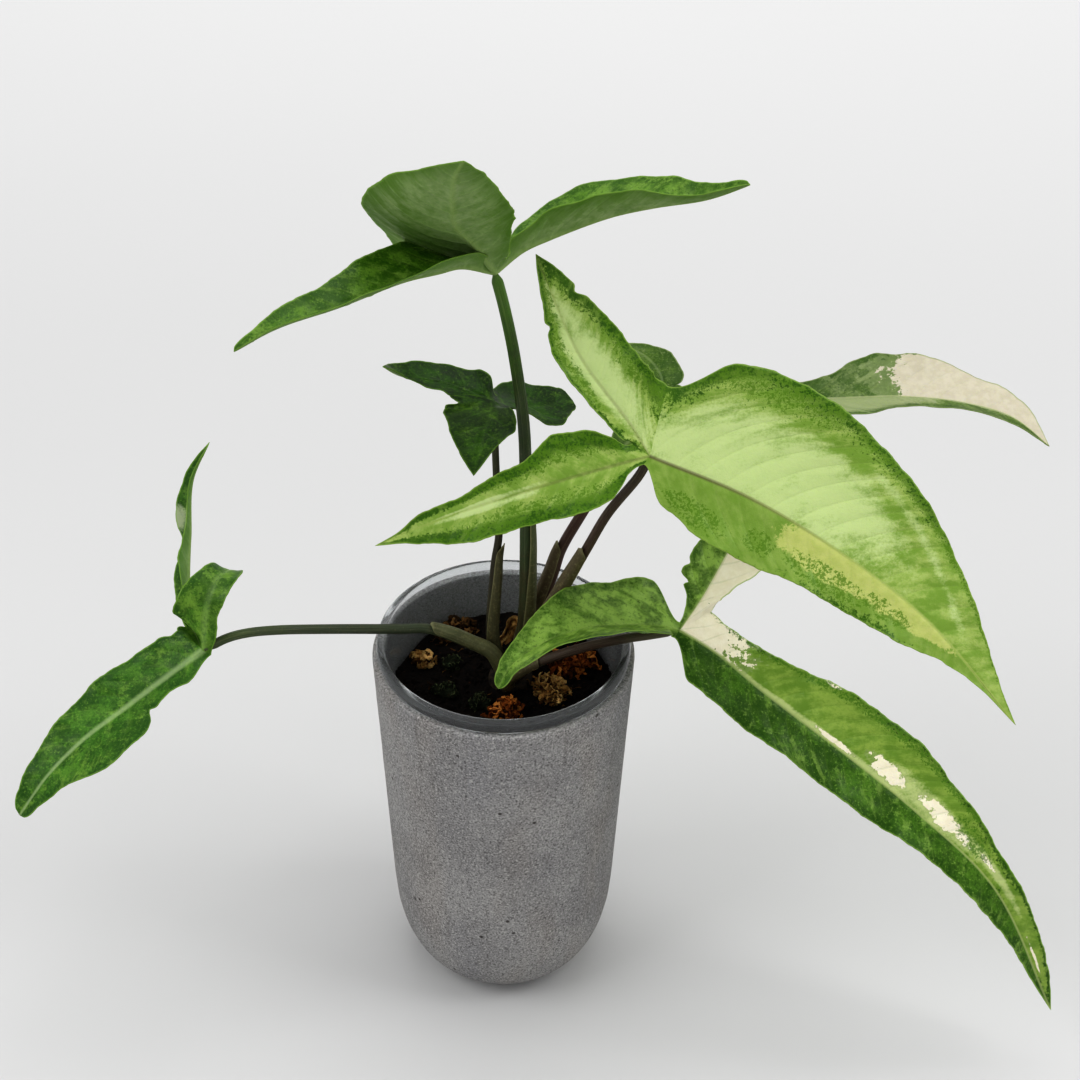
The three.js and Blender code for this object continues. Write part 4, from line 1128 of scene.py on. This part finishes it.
# %% Shells
def shell_mesh(name, outer, inner, **values):
    """Closed thin shell between two grids of points, with a number on each point."""
    rows, columns = outer.shape[:2]
    count = rows * columns
    corner = np.arange(count).reshape(rows, columns)
    top = grid_faces(corner)
    rim = np.concatenate([corner[0, :-1], corner[:-1, -1], corner[-1, :0:-1], corner[:0:-1, 0]])
    after = np.roll(rim, -1)
    wall = np.stack([rim, after, after + count, rim + count], -1)
    points = np.concatenate([outer.reshape(-1, 3), inner.reshape(-1, 3)])
    mesh = mesh_from(name, points, [top, top[:, ::-1] + count, wall])
    for key, value in values.items():
        keep_numbers(mesh, key, "POINT", np.tile(np.ravel(value), 2))
    if volume(mesh) < 0:
        mesh.flip_normals()
    return mesh


STALK_STEPS = 400
SHEATH_START = 0.04
SHEATH_WRAP = math.radians(112)
SHEATH_WALL = 0.35
SHEATH_ROWS, SHEATH_COLUMNS = 64, 25


def sheath_mesh(name, leaf):
    sheath = leaf["sheath"]
    line, _ = curve_through([*leaf["stalk"], leaf["joint"]], STALK_STEPS)
    w = np.linspace(0, 1, SHEATH_ROWS) ** 0.85
    u = SHEATH_START + w * (sheath["tip"] - SHEATH_START)
    steps = np.arange(STALK_STEPS + 1)
    centre = read(steps, line, u * STALK_STEPS)
    tangent = read(steps, unit(np.gradient(line, axis=0)), u * STALK_STEPS)
    out = np.array(sheath["side"], float)
    out = unit(out - tangent * (tangent @ out)[:, None])
    beside = np.cross(tangent, out)
    foot, top = leaf["girth"]
    radius = (0.8 + 0.2 * smooth(0, 0.08, u)) * (foot + (top - foot) * np.sqrt(u))

    # The sheath wraps less of the stalk on its way up, and rounds off to its tip
    wrap = SHEATH_WRAP * (1 - 0.35 * smooth(0.2, 0.8, w))
    wrap = wrap * np.sqrt(np.maximum(1 - smooth(0.9, 1, w) ** 2, 0.004))
    turn = np.linspace(-1, 1, SHEATH_COLUMNS)
    phi = wrap[:, None] * turn
    spoke = np.cos(phi)[..., None] * out[:, None] + np.sin(phi)[..., None] * beside[:, None]
    # It clears the stalk's own bulge, and stands off further at its tip and along its edges
    swell = smooth(0, 0.1, u) * (1 - 0.75 * smooth(0.7, 1, w))
    bulge = sheath["depth"] * swell[:, None] * np.maximum(np.cos(phi), 0)
    free = 0.3 * smooth(0.62, 1, w)[:, None]
    flare, veins = 0.25 * np.abs(turn) ** 6, 0.07 * np.cos(22 * phi)
    reach = radius[:, None] + bulge + 0.1 + free + flare + veins
    wall = SHEATH_WALL * (1 - 0.45 * np.abs(turn) ** 4) * np.ones_like(reach)
    outer = centre[:, None] + spoke * (reach + wall)[..., None]
    inner = centre[:, None] + spoke * reach[..., None]
    rail = np.broadcast_to(u[:, None], reach.shape)
    rim = np.maximum(np.abs(turn) ** 5, smooth(0.93, 1, w)[:, None])
    return shell_mesh(name, outer, inner, rail=rail, around=phi / math.tau, rim=rim)


# %% [markdown]
# The stalk finish
#
# A stalk is green below its blade and turns olive and then purple-brown towards the mix. Fine darker
# and paler lines run along it, short flecks lie across them, and a sheath has a pale rim. A plain
# gradient would look painted on, so noise shifts each change of colour, and the lines follow
# coordinates that the mesh stores along and around the stalk.

# %% Stalk finish
# Colours near the blade, in the middle and near the foot
STALK_LOOKS = by_leaf(
    ("587a34", "465436", "4c4830"), ("454a30", "3b382a", "38352a"), ("4c4034", "54433a", "4a3b30"),
    ("54483a", "58423a", "4a3630"), ("5a5a42", "54463a", "42342a"), ("4c5a38", "434c38", "6a6c50"),
)


def stalk_finish(name, wrapped):
    top, middle, low = STALK_LOOKS[name]
    f = Finish(f"{name} {'sheath' if wrapped else 'stalk'}")
    rail, around, rim = f.value("rail"), f.value("around"), f.value("rim")
    lengthwise = f.vector(f.times(around, 34.0), f.times(rail, 5.0))
    lines = f.out("ShaderNodeTexNoise", {"Vector": lengthwise, "Scale": 1.0, "Detail": 3.0})
    blot, fleck = f.noise(5, 2.0), f.noise(0.5, 2.0, 0.65)
    wander = f.math("MULTIPLY_ADD", f.math("SUBTRACT", blot, 0.5), 0.35, rail)
    tone = f.over(f.over(low, middle, wander, 0.05, 0.4), top, wander, 0.6, 0.98)
    tone = f.mix(f.ramp(lines, 0.35, 0.6, 0.45, 0.0), tone, f.mix(0.6, tone, "1c1610"))
    tone = f.over(tone, f.mix(0.5, tone, "a3a17c"), lines, 0.55, 0.75, 0.5)
    if wrapped:
        tone = f.mix(0.35, tone, "75744f")
        tone = f.over(tone, "989268", f.noise(1.3, 3.0, 0.75), 0.5, 0.7, 0.4)
    tone = f.over(tone, "8b8263", fleck, 0.6, 0.72, 0.35)
    tone = f.over(tone, "8c8a66", rim, 0.35, 0.95, 0.6)
    return f.set(
        Base_Color=tone, Roughness=f.ramp(blot, 0.3, 0.7, 0.42, 0.6),
        Normal=f.bump(lines, 0.22, 0.6, f.bump(fleck, 0.08, 0.6)),
        Specular_IOR_Level=0.35, Subsurface_Weight=0.06, Subsurface_Scale=0.8 * MM,
    )


# %% Stalks and sheaths
JOINT_GAP = 0.5
NARROWING = 5.0
RING_SPACING = 0.9
for name, leaf in LEAVES.items():
    points, length = curve_through([*leaf["stalk"], leaf["joint"]], STALK_STEPS)
    steps = np.linspace(0, STALK_STEPS * (1 - JOINT_GAP / length), round(length / RING_SPACING))
    sheath = leaf["sheath"]
    piece = stalk.grow(
        f"{name}_stalk", line_mesh(read(np.arange(STALK_STEPS + 1), points, steps)),
        stalk_finish(name, wrapped=False),
        foot_radius=leaf["girth"][0] * MM, top_radius=leaf["girth"][1] * MM,
        joint_reach=NARROWING / length, sheath_side=sheath["side"], sheath_reach=sheath["reach"],
        sheath_depth=sheath["depth"] * MM, ridge_height=0.06 * MM, ridges=11.0,
    )
    finished(piece, "petiole", f"{name}_petiole")
    finish = stalk_finish(name, wrapped=True)
    piece = show(sheath_mesh(f"{name}_sheath", leaf), f"{name}_sheath", [finish])
    finished(piece, "petiole")
    print(piece.name, triangles(piece), "triangles")

# %% [markdown]
# Turned walls
#
# The pot is cast and the cup is drawn from a sheet, and both are round. A Screw modifier could turn
# their outlines too. The tree does it by rule: it takes an outline, makes a grid with one row for
# each of its points, and wraps the rows round the +Z axis. The same tree can then move the surface
# in and out a little, because such a wall is never quite even.

# %% Turning tree
turned = Growth("turned wall", sides=90, grain=0.0001, grain_size=0.004)
g = turned.given
rows = turned.add("GeometryNodeAttributeDomainSize", {"Geometry": g["Geometry"]}).outputs["Point Count"]
ring_count = turned.math("ADD", g["sides"], 1.0)
sheet = turned.geo("MeshGrid", Size_X=1.0, Size_Y=1.0, Vertices_X=rows, Vertices_Y=ring_count)
row = turned.math("FLOOR", turned.math("DIVIDE", turned.math("ADD", turned.index, 0.5), ring_count))
step = turned.math("SUBTRACT", turned.index, turned.times(row, ring_count))
angle = turned.math("DIVIDE", turned.times(step, -math.tau), g["sides"])
outline = turned.add("GeometryNodeSampleIndex", data_type="FLOAT_VECTOR")
turned.fill(outline, {"Geometry": g["Geometry"], "Value": turned.place, "Index": row})
radius, _, height = turned.parts(outline.outputs[0])
x = turned.times(radius, turned.math("COSINE", angle))
y = turned.times(radius, turned.math("SINE", angle))
wrapped = turned.geo("SetPosition", Geometry=sheet, Position=turned.vector(x, y, height))
wrapped = turned.geo("MergeByDistance", Geometry=wrapped, Distance=1e-6)
size = turned.math("DIVIDE", 1.0, g["grain_size"])
uneven = turned.out("ShaderNodeTexNoise", {"Vector": turned.place, "Scale": size, "Detail": 2.0})
uneven = turned.times(turned.math("SUBTRACT", uneven, 0.5), g["grain"])
wrapped = turned.move(wrapped, turned.scaled(turned.normal, uneven))
turned.close(turned.geo("SetShadeSmooth", Geometry=wrapped))


def outline_of(*stretches):
    """Line mesh through stretches of (corner points, spacing). Each stretch is one smooth curve."""
    points = []
    for corners, spacing in stretches:
        flat = [(radius, 0, height) for radius, height in corners]
        length = sum(math.dist(a, b) for a, b in zip(flat, flat[1:]))
        points.extend(curve_through(flat, max(1, round(length / spacing)))[0])
    kept = [p for i, p in enumerate(points) if i == 0 or math.dist(p, points[i - 1]) > 1e-4]
    return line_mesh(np.array(kept))


# %% [markdown]
# The cover pot
#
# A matt mineral coating with fine sand covers the pot. Light and dark grains lie close together,
# faint stains run down from the rim, and a few dark grains stand out. Modelled grains would need
# millions of faces, so noise of several sizes gives the sand its colours and bumps.

# %% Pot finish
f = Finish("sand-textured grey")
grain, coarse, cloud = f.noise(0.75, 3.0, 0.7), f.noise(2.2, 2.0, 0.6), f.noise(34, 3.0, 0.6)
tint = f.noise(21, 2.0, 0.5, place=f.stretched(1, 1, 0.35))
streak = f.noise(2.6, 3.0, 0.6, place=f.stretched(1, 1, 0.05))
tone = f.over("8f8e8e", "9f9e9d", cloud, 0.3, 0.7)
tone = f.over(tone, "9a928a", tint, 0.5, 0.72, 0.25)
tone = f.over(tone, "888990", tint, 0.48, 0.25, 0.25)
tone = f.over(tone, "6d6a68", streak, 0.56, 0.72, 0.3)
tone = f.over(tone, "545252", grain, 0.5, 0.34, 0.8)
tone = f.over(tone, "cac8c5", grain, 0.54, 0.68, 0.75)
tone = f.over(tone, "a09d9b", coarse, 0.6, 0.75, 0.3)
tone = f.over(tone, "3c3836", f.cells(11), 0.09, 0.05, 0.8)
sand = f.bump(coarse, 0.5, 0.35, f.bump(f.noise(0.6, 2.0, 0.7), 0.35, 0.75))
pot_finish = f.set(Base_Color=tone, Roughness=0.92, Normal=sand, Specular_IOR_Level=0.25)

# %% Cover pot
POT_STEP = 1.3
FOOT_CURVE = [
    (17.4, 0), (18.4, 0.15), (25, 1.2), (31, 4.5), (36.5, 11), (40.5, 20), (43, 31), (44.2, 44),
]
pot_outline = outline_of(
    ([(0, 0), (17.4, 0)], 3),
    (FOOT_CURVE, POT_STEP),
    ([(44.2, 44), (49.45, 155.8)], POT_STEP),
    ([(49.45, 155.8), (49.35, 156.6), (48.9, 157), (46.8, 157), (46.2, 156.8), (46, 156)], 0.5),
    ([(46, 156), (40.2, 44)], 4),
    ([(40.2, 44), (38.6, 29), (35, 18), (28, 11.5), (20, 9)], 3),
    ([(20, 9), (0, 9)], 4),
)
sizes = {"sides": 280, "grain": 0.22 * MM, "grain_size": 5 * MM}
finished(turned.grow("cover_pot_skin", pot_outline, pot_finish, **sizes), "pot", "cover_pot")

# %% [markdown]
# The grow cup
#
# The cup is clear thin plastic with a thick bead, which catches the lamps as fine bright lines. Its
# wall stands inside the pot's, so only the inner face and the bead show. A perfectly clear wall would
# vanish, so it lets through most of the light but not all. Water drops have left faint marks, and the
# bead is a little clearer than the wall.

# %% Cup finish
f = Finish("clear plastic")
haze, spots = f.noise(9, 3.0, 0.6), f.noise(1.2, 2.0, 0.6)
roughness = f.math("ADD", f.ramp(haze, 0.4, 0.7, 0.05, 0.12), f.ramp(spots, 0.6, 0.7, 0.0, 0.1))
height = f.add("ShaderNodeSeparateXYZ", {0: f.place}).outputs[2]
cup_finish = f.set(
    Base_Color=f.mix(haze, "f0f2f3", "e4e7e9"), Roughness=roughness, Normal=f.bump(haze, 0.3, 0.05),
    Transmission_Weight=f.ramp(height, 0.15, 0.157, 0.86, 0.93), IOR=1.2,
)

# %% Grow cup
BEAD_STEP = 0.35
BEAD_OUTSIDE = [
    (45.6, 157.3), (46.4, 157.35), (47.3, 157.6), (47.85, 158.6), (47.9, 160.2), (47.6, 161.9),
]
BEAD_TOP = [(47.6, 161.9), (47.1, 163), (46.3, 163.3), (45.5, 163.1), (44.95, 162.3), (44.8, 161.2)]
cup_outline = outline_of(
    ([(0, 42), (34, 42)], 4),
    ([(34, 42), (45.6, 157.3)], 3),
    (BEAD_OUTSIDE, BEAD_STEP),
    (BEAD_TOP, BEAD_STEP),
    ([(44.8, 161.2), (45.05, 160.4), (44.85, 159.6), (44.6, 159)], 0.3),
    ([(44.6, 159), (33.1, 43)], 3),
    ([(33.1, 43), (0, 43)], 4),
)
sizes = {"sides": 170, "grain": 0.02 * MM, "grain_size": 14 * MM}
finished(turned.grow("grow_cup_skin", cup_outline, cup_finish, **sizes), "cup", "grow_cup")

# %% [markdown]
# The potting mix
#
# The top of the mix is uneven and strewn with crumbs of bark and peat of many sizes. A bump in the
# finish would look flat from this close, so the crumbs are real small solids, each with its own turn
# and size. The mix is dark and moist, so only the edges of crumbs catch light.

# %% Mix tree
MIX_LEVEL = 136
MIX_RISE = 0.09


def mix_height(x, y):
    ripple = 0.5 * np.sin(0.17 * x + 1) * np.cos(0.15 * y) + 0.4 * np.sin(0.11 * (x + y))
    return MIX_LEVEL + MIX_RISE * y + ripple


bed = Growth("potting mix", unevenness=0.001, crumbs=200000.0, smallest=0.0004, largest=0.0015)
g = bed.given
lumpy = bed.times(bed.math("SUBTRACT", bed.noise(4.5, 3.0, 0.6), 0.5), g["unevenness"])
high = bed.math("GREATER_THAN", bed.parts(bed.normal)[2], 0.5)
ground = bed.move(g["Geometry"], bed.vector(0.0, 0.0, bed.times(lumpy, high)))
crumb = bed.geo("MeshIcoSphere", Radius=1.0, Subdivisions=2)
size = bed.times(bed.random(0.0, 1.0, 7), bed.random(0.0, 1.0, 8))
size = bed.math("MULTIPLY_ADD", size, bed.math("SUBTRACT", g["largest"], g["smallest"]), g["smallest"])
density = bed.times(g["crumbs"], high)
crumbs = bed.scattered(ground, density, crumb, (0.7, 0.5, 0.4), (1.4, 1.0, 0.8), 5)
crumbs = bed.geo("ScaleInstances", Instances=crumbs, Scale=bed.vector(size, size, size))
crumbs = bed.shaken(bed.geo("RealizeInstances", Geometry=crumbs), 900.0, 1.0, 0.0012)
joined = bed.add("GeometryNodeJoinGeometry")
for part in (ground, crumbs):
    bed.fill(joined, {0: part})
bed.close(joined.outputs[0])


def mix_mesh(radius, low_radius, bottom, step, sides=220):
    """Block of mix: a fine uneven top, a smooth wall and a flat underside."""
    turn = np.arange(sides) * math.tau / sides
    rings = round(radius / step)
    points = [(0, 0, float(mix_height(0, 0)))]
    for i in range(1, rings + 1):
        r = radius * i / rings
        x, y = r * np.cos(turn), r * np.sin(turn)
        points.extend(zip(x, y, mix_height(x, y)))
    for r, z in ((radius - 0.4, MIX_LEVEL - 6), (low_radius, bottom)):
        points.extend(zip(r * np.cos(turn), r * np.sin(turn), np.full(sides, float(z))))
    points.append((0, 0, bottom))
    corner = 1 + sides * np.arange(rings + 2)[:, None] + np.arange(sides + 1) % sides
    first, last = corner[0], corner[-1]
    cap = np.stack([np.zeros(sides, int), first[:-1], first[1:]], -1)
    base = np.stack([last[:-1], np.full(sides, len(points) - 1), last[1:]], -1)
    return mesh_from("mix", points, [cap, grid_faces(corner), base])


# %% Mix finish
f = Finish("moist potting mix")
patch, bits = f.noise(8, 3.0, 0.6), f.noise(1.3, 3.0, 0.7)
tone = f.over("0b0908", "1d1510", bits, 0.35, 0.65)
tone = f.over(tone, "231710", patch, 0.55, 0.75, 0.5)
tone = f.over(tone, "3f2716", f.cells(3.4), 0.16, 0.08, 0.8)
mix_finish = f.set(
    Base_Color=tone, Roughness=f.ramp(bits, 0.3, 0.7, 0.75, 0.95), Specular_IOR_Level=0.2,
    Normal=f.bump(f.noise(0.7, 3.0, 0.7), 0.5, 0.9),
)

# %% Potting mix
sizes = {"unevenness": 2.4 * MM, "crumbs": 230000.0, "smallest": 0.35 * MM, "largest": 2.4 * MM}
block = mix_mesh(radius=42.2, low_radius=32.6, bottom=43.4, step=0.95)
mix = bed.grow("growing_medium_skin", block, mix_finish, **sizes)
finished(mix, "mix", "growing_medium")

# %% [markdown]
# Loose moss
#
# Dried moss lies on the mix in curled tufts. Hair particles could make it, but an export keeps none
# of them. So each of the CAD's lumps shrinks a little about its foot, to leave room for strands, and
# one tree roughens it. Another strews short spirals over it, shifts them by noise so that no two are
# alike, and gives each the skin of a flat ribbon and its own tint.

# %% Moss trees
strands = Growth(
    "moss strands", density=800000.0, curl=0.001, rise=0.002, wander=0.002, thickness=0.0003, seed=1,
)
g = strands.given
spiral = strands.geo(
    "CurveSpiral", Resolution=20, Rotations=1.1, Start_Radius=g["curl"], Height=g["rise"],
    End_Radius=strands.times(g["curl"], 0.4),
)
small, large = (0.6, 0.6, 0.6), (1.5, 1.5, 1.5)
curls = strands.scattered(g["Geometry"], g["density"], spiral, small, large, g["seed"])
curls = strands.store(curls, "tint", strands.random(0.0, 1.0, 3), "INSTANCE")
curls = strands.shaken(strands.geo("RealizeInstances", Geometry=curls), 420.0, 2.0, g["wander"])
ribbon = strands.geo("CurvePrimitiveCircle", Resolution=6, Radius=1.0)
ribbon = strands.geo("Transform", Geometry=ribbon, Scale=(1.0, 0.35, 1.0))
frayed = strands.ramp(strands.noise(0.6, 1.0), 0.3, 0.7, 0.5, 1.7)
u = strands.geo("SplineParameter")
taper = strands.times(strands.ramp(u, 0.0, 0.2, 0.4, 1.0), strands.ramp(u, 0.8, 1.0, 1.0, 0.3))
thick = strands.times(frayed, taper, g["thickness"])
skin = strands.geo("CurveToMesh", Curve=curls, Profile_Curve=ribbon, Scale=thick, Fill_Caps=True)
strands.close(skin)

lump = Growth("moss lump", sink=0.001, roughness=0.002)
g = lump.given
dense = lump.geo("SubdivideMesh", Mesh=g["Geometry"], Level=2)
rise = lump.times(lump.math("SUBTRACT", lump.noise(1.8, 3.0, 0.6), 0.5), g["roughness"])
rise = lump.math("SUBTRACT", rise, g["sink"])
lump.close(lump.move(dense, lump.scaled(lump.normal, rise)))


# %% Moss finishes
def moss_finish(name, dark, middle, light):
    f = Finish(name)
    tint, grain, patch = f.value("tint"), f.noise(0.45, 3.0, 0.7), f.noise(3.5, 2.0)
    shade = f.math("MULTIPLY_ADD", tint, 0.5, f.times(patch, 0.7))
    tone = f.over(dark, middle, shade, 0.2, 0.7)
    tone = f.over(tone, light, f.math("MULTIPLY_ADD", grain, 0.6, f.times(tint, 0.4)), 0.45, 0.8)
    tone = f.over(tone, f.mix(0.8, dark, "000000"), grain, 0.46, 0.32, 0.8)
    return f.set(
        Base_Color=tone, Roughness=0.9, Normal=f.bump(grain, 0.3, 0.8), Specular_IOR_Level=0.15,
        Subsurface_Weight=0.1, Subsurface_Scale=0.5 * MM,
    )


RUST = moss_finish("rust moss", "3f2210", "9c5c28", "dc9c58")
TAN = moss_finish("tan moss", "4a331b", "a3804c", "dcba80")
DUSK = moss_finish("dusky moss", "24170c", "594226", "8a6c44")
DULL_GREEN = moss_finish("dull green moss", "1a1f12", "3c4430", "6c7456")

# %% Moss tufts
TUFTS = {
    "front_moss_tuft": RUST, "right_moss_tuft": TAN, "far_moss_tuft": RUST, "left_moss_tuft": TAN,
    "back_moss_tuft": DUSK, "green_moss_1": DULL_GREEN, "green_moss_2": DULL_GREEN,
    "green_moss_3": DULL_GREEN,
}
TUFT_SIZES = {"left_moss_tuft": 0.6, "far_moss_tuft": 0.9, "green_moss_1": 0.9}
USUAL_TUFT_SIZE = 0.85
CUSHION = {
    "density": 450000.0, "curl": 0.7 * MM, "rise": 1.2 * MM, "wander": 1.5 * MM,
    "thickness": 0.22 * MM,
}
DRY_TUFT = {
    "density": 300000.0, "curl": 1.6 * MM, "rise": 3.4 * MM, "wander": 4 * MM,
    "thickness": 0.75 * MM,
}
CUSHION_SINK, TUFT_SINK = 0.3 * MM, 0.8 * MM
for i, (name, finish) in enumerate(TUFTS.items()):
    node = bpy.data.objects[name]
    shape = node.data.copy()
    shape.transform(node.matrix_world)
    green = name.startswith("green")
    slot = "green_moss" if green else "dry_moss"
    places = np.array([point.co[:] for point in shape.vertices])
    foot = np.array([*places[:, :2].mean(axis=0), places[:, 2].min()])
    places = foot + TUFT_SIZES.get(name, USUAL_TUFT_SIZE) * (places - foot)
    shape.vertices.foreach_set("co", places.ravel())
    sink = CUSHION_SINK if green else TUFT_SINK
    core = lump.grow(f"{name}_core", shape.copy(), finish, sink=sink, roughness=3 * sink)
    finished(core, slot, name)
    sizes = CUSHION if green else DRY_TUFT
    finished(strands.grow(f"{name}_strands", shape, finish, seed=11 + i, **sizes), slot)

# %% Loose fibres
sizes = {"density": 9000.0, "curl": 1.4 * MM, "rise": 4 * MM, "wander": 3 * MM, "thickness": 0.3 * MM}
ground = mix_mesh(radius=40, low_radius=32, bottom=130, step=4)
finished(strands.grow("loose_fibres", ground, DUSK, seed=40, **sizes), "dry_moss")

# %% [markdown]
# The dry bract and the stem
#
# A papery bract has curled up behind the stalks. It is a narrow shell that follows a hooked line,
# because a flat leaf bent by a modifier would not crease. The short stem shows only between the
# stalks, so it keeps its CAD shape under a bark-like finish.

# %% Dry bract
BRACT_LINE = [
    (-1, 22, 138), (-1.5, 23.5, 141), (1, 24.5, 143), (2.5, 25.5, 146.5), (3.5, 26, 149),
    (5.2, 25, 148.5),
]
BRACT_ROWS, BRACT_COLUMNS, BRACT_HALF_WALL = 70, 15, 0.14
line, _ = curve_through(BRACT_LINE, BRACT_ROWS)
u = np.linspace(0, 1, len(line))
tangent = unit(np.gradient(line, axis=0))
flank = unit(np.cross(tangent, (0.3, -1, 0.2)))
face = np.cross(flank, tangent)[:, None]
spread = np.linspace(-1, 1, BRACT_COLUMNS)
half = 0.6 + 1.7 * smooth(0, 0.3, u) + 1.1 * smooth(0.7, 1, u)
half = (half * np.sqrt(np.maximum(1 - smooth(0.9, 1, u), 0.02)))[:, None]
crease = 0.35 * np.sin(9 * spread + 14 * u[:, None]) + 0.8 * spread ** 2 * half * 0.6
middle = line[:, None] + (half * spread)[..., None] * flank[:, None] + crease[..., None] * face
tint = np.broadcast_to(0.5 + 0.4 * np.sin(6 * spread), middle.shape[:2])
wall = BRACT_HALF_WALL * face
sheet = shell_mesh("dry_bract_skin", middle + wall, middle - wall, tint=tint)
finished(show(sheet, "dry_bract_skin", [TAN]), "dry_moss", "dry_bract")

# %% Stem and roots
f = Finish("stem")
bark = f.noise(1.6, 3.0, 0.65, place=f.stretched(1, 1, 0.3))
tone = f.over("1c150e", "3b2f1f", bark, 0.35, 0.65)
stem_finish = f.set(Base_Color=tone, Roughness=0.8, Normal=f.bump(bark, 0.4, 0.7))
stem = bpy.data.objects["stem_and_roots"]
stem.data.materials.clear()
stem.data.materials.append(stem_finish)
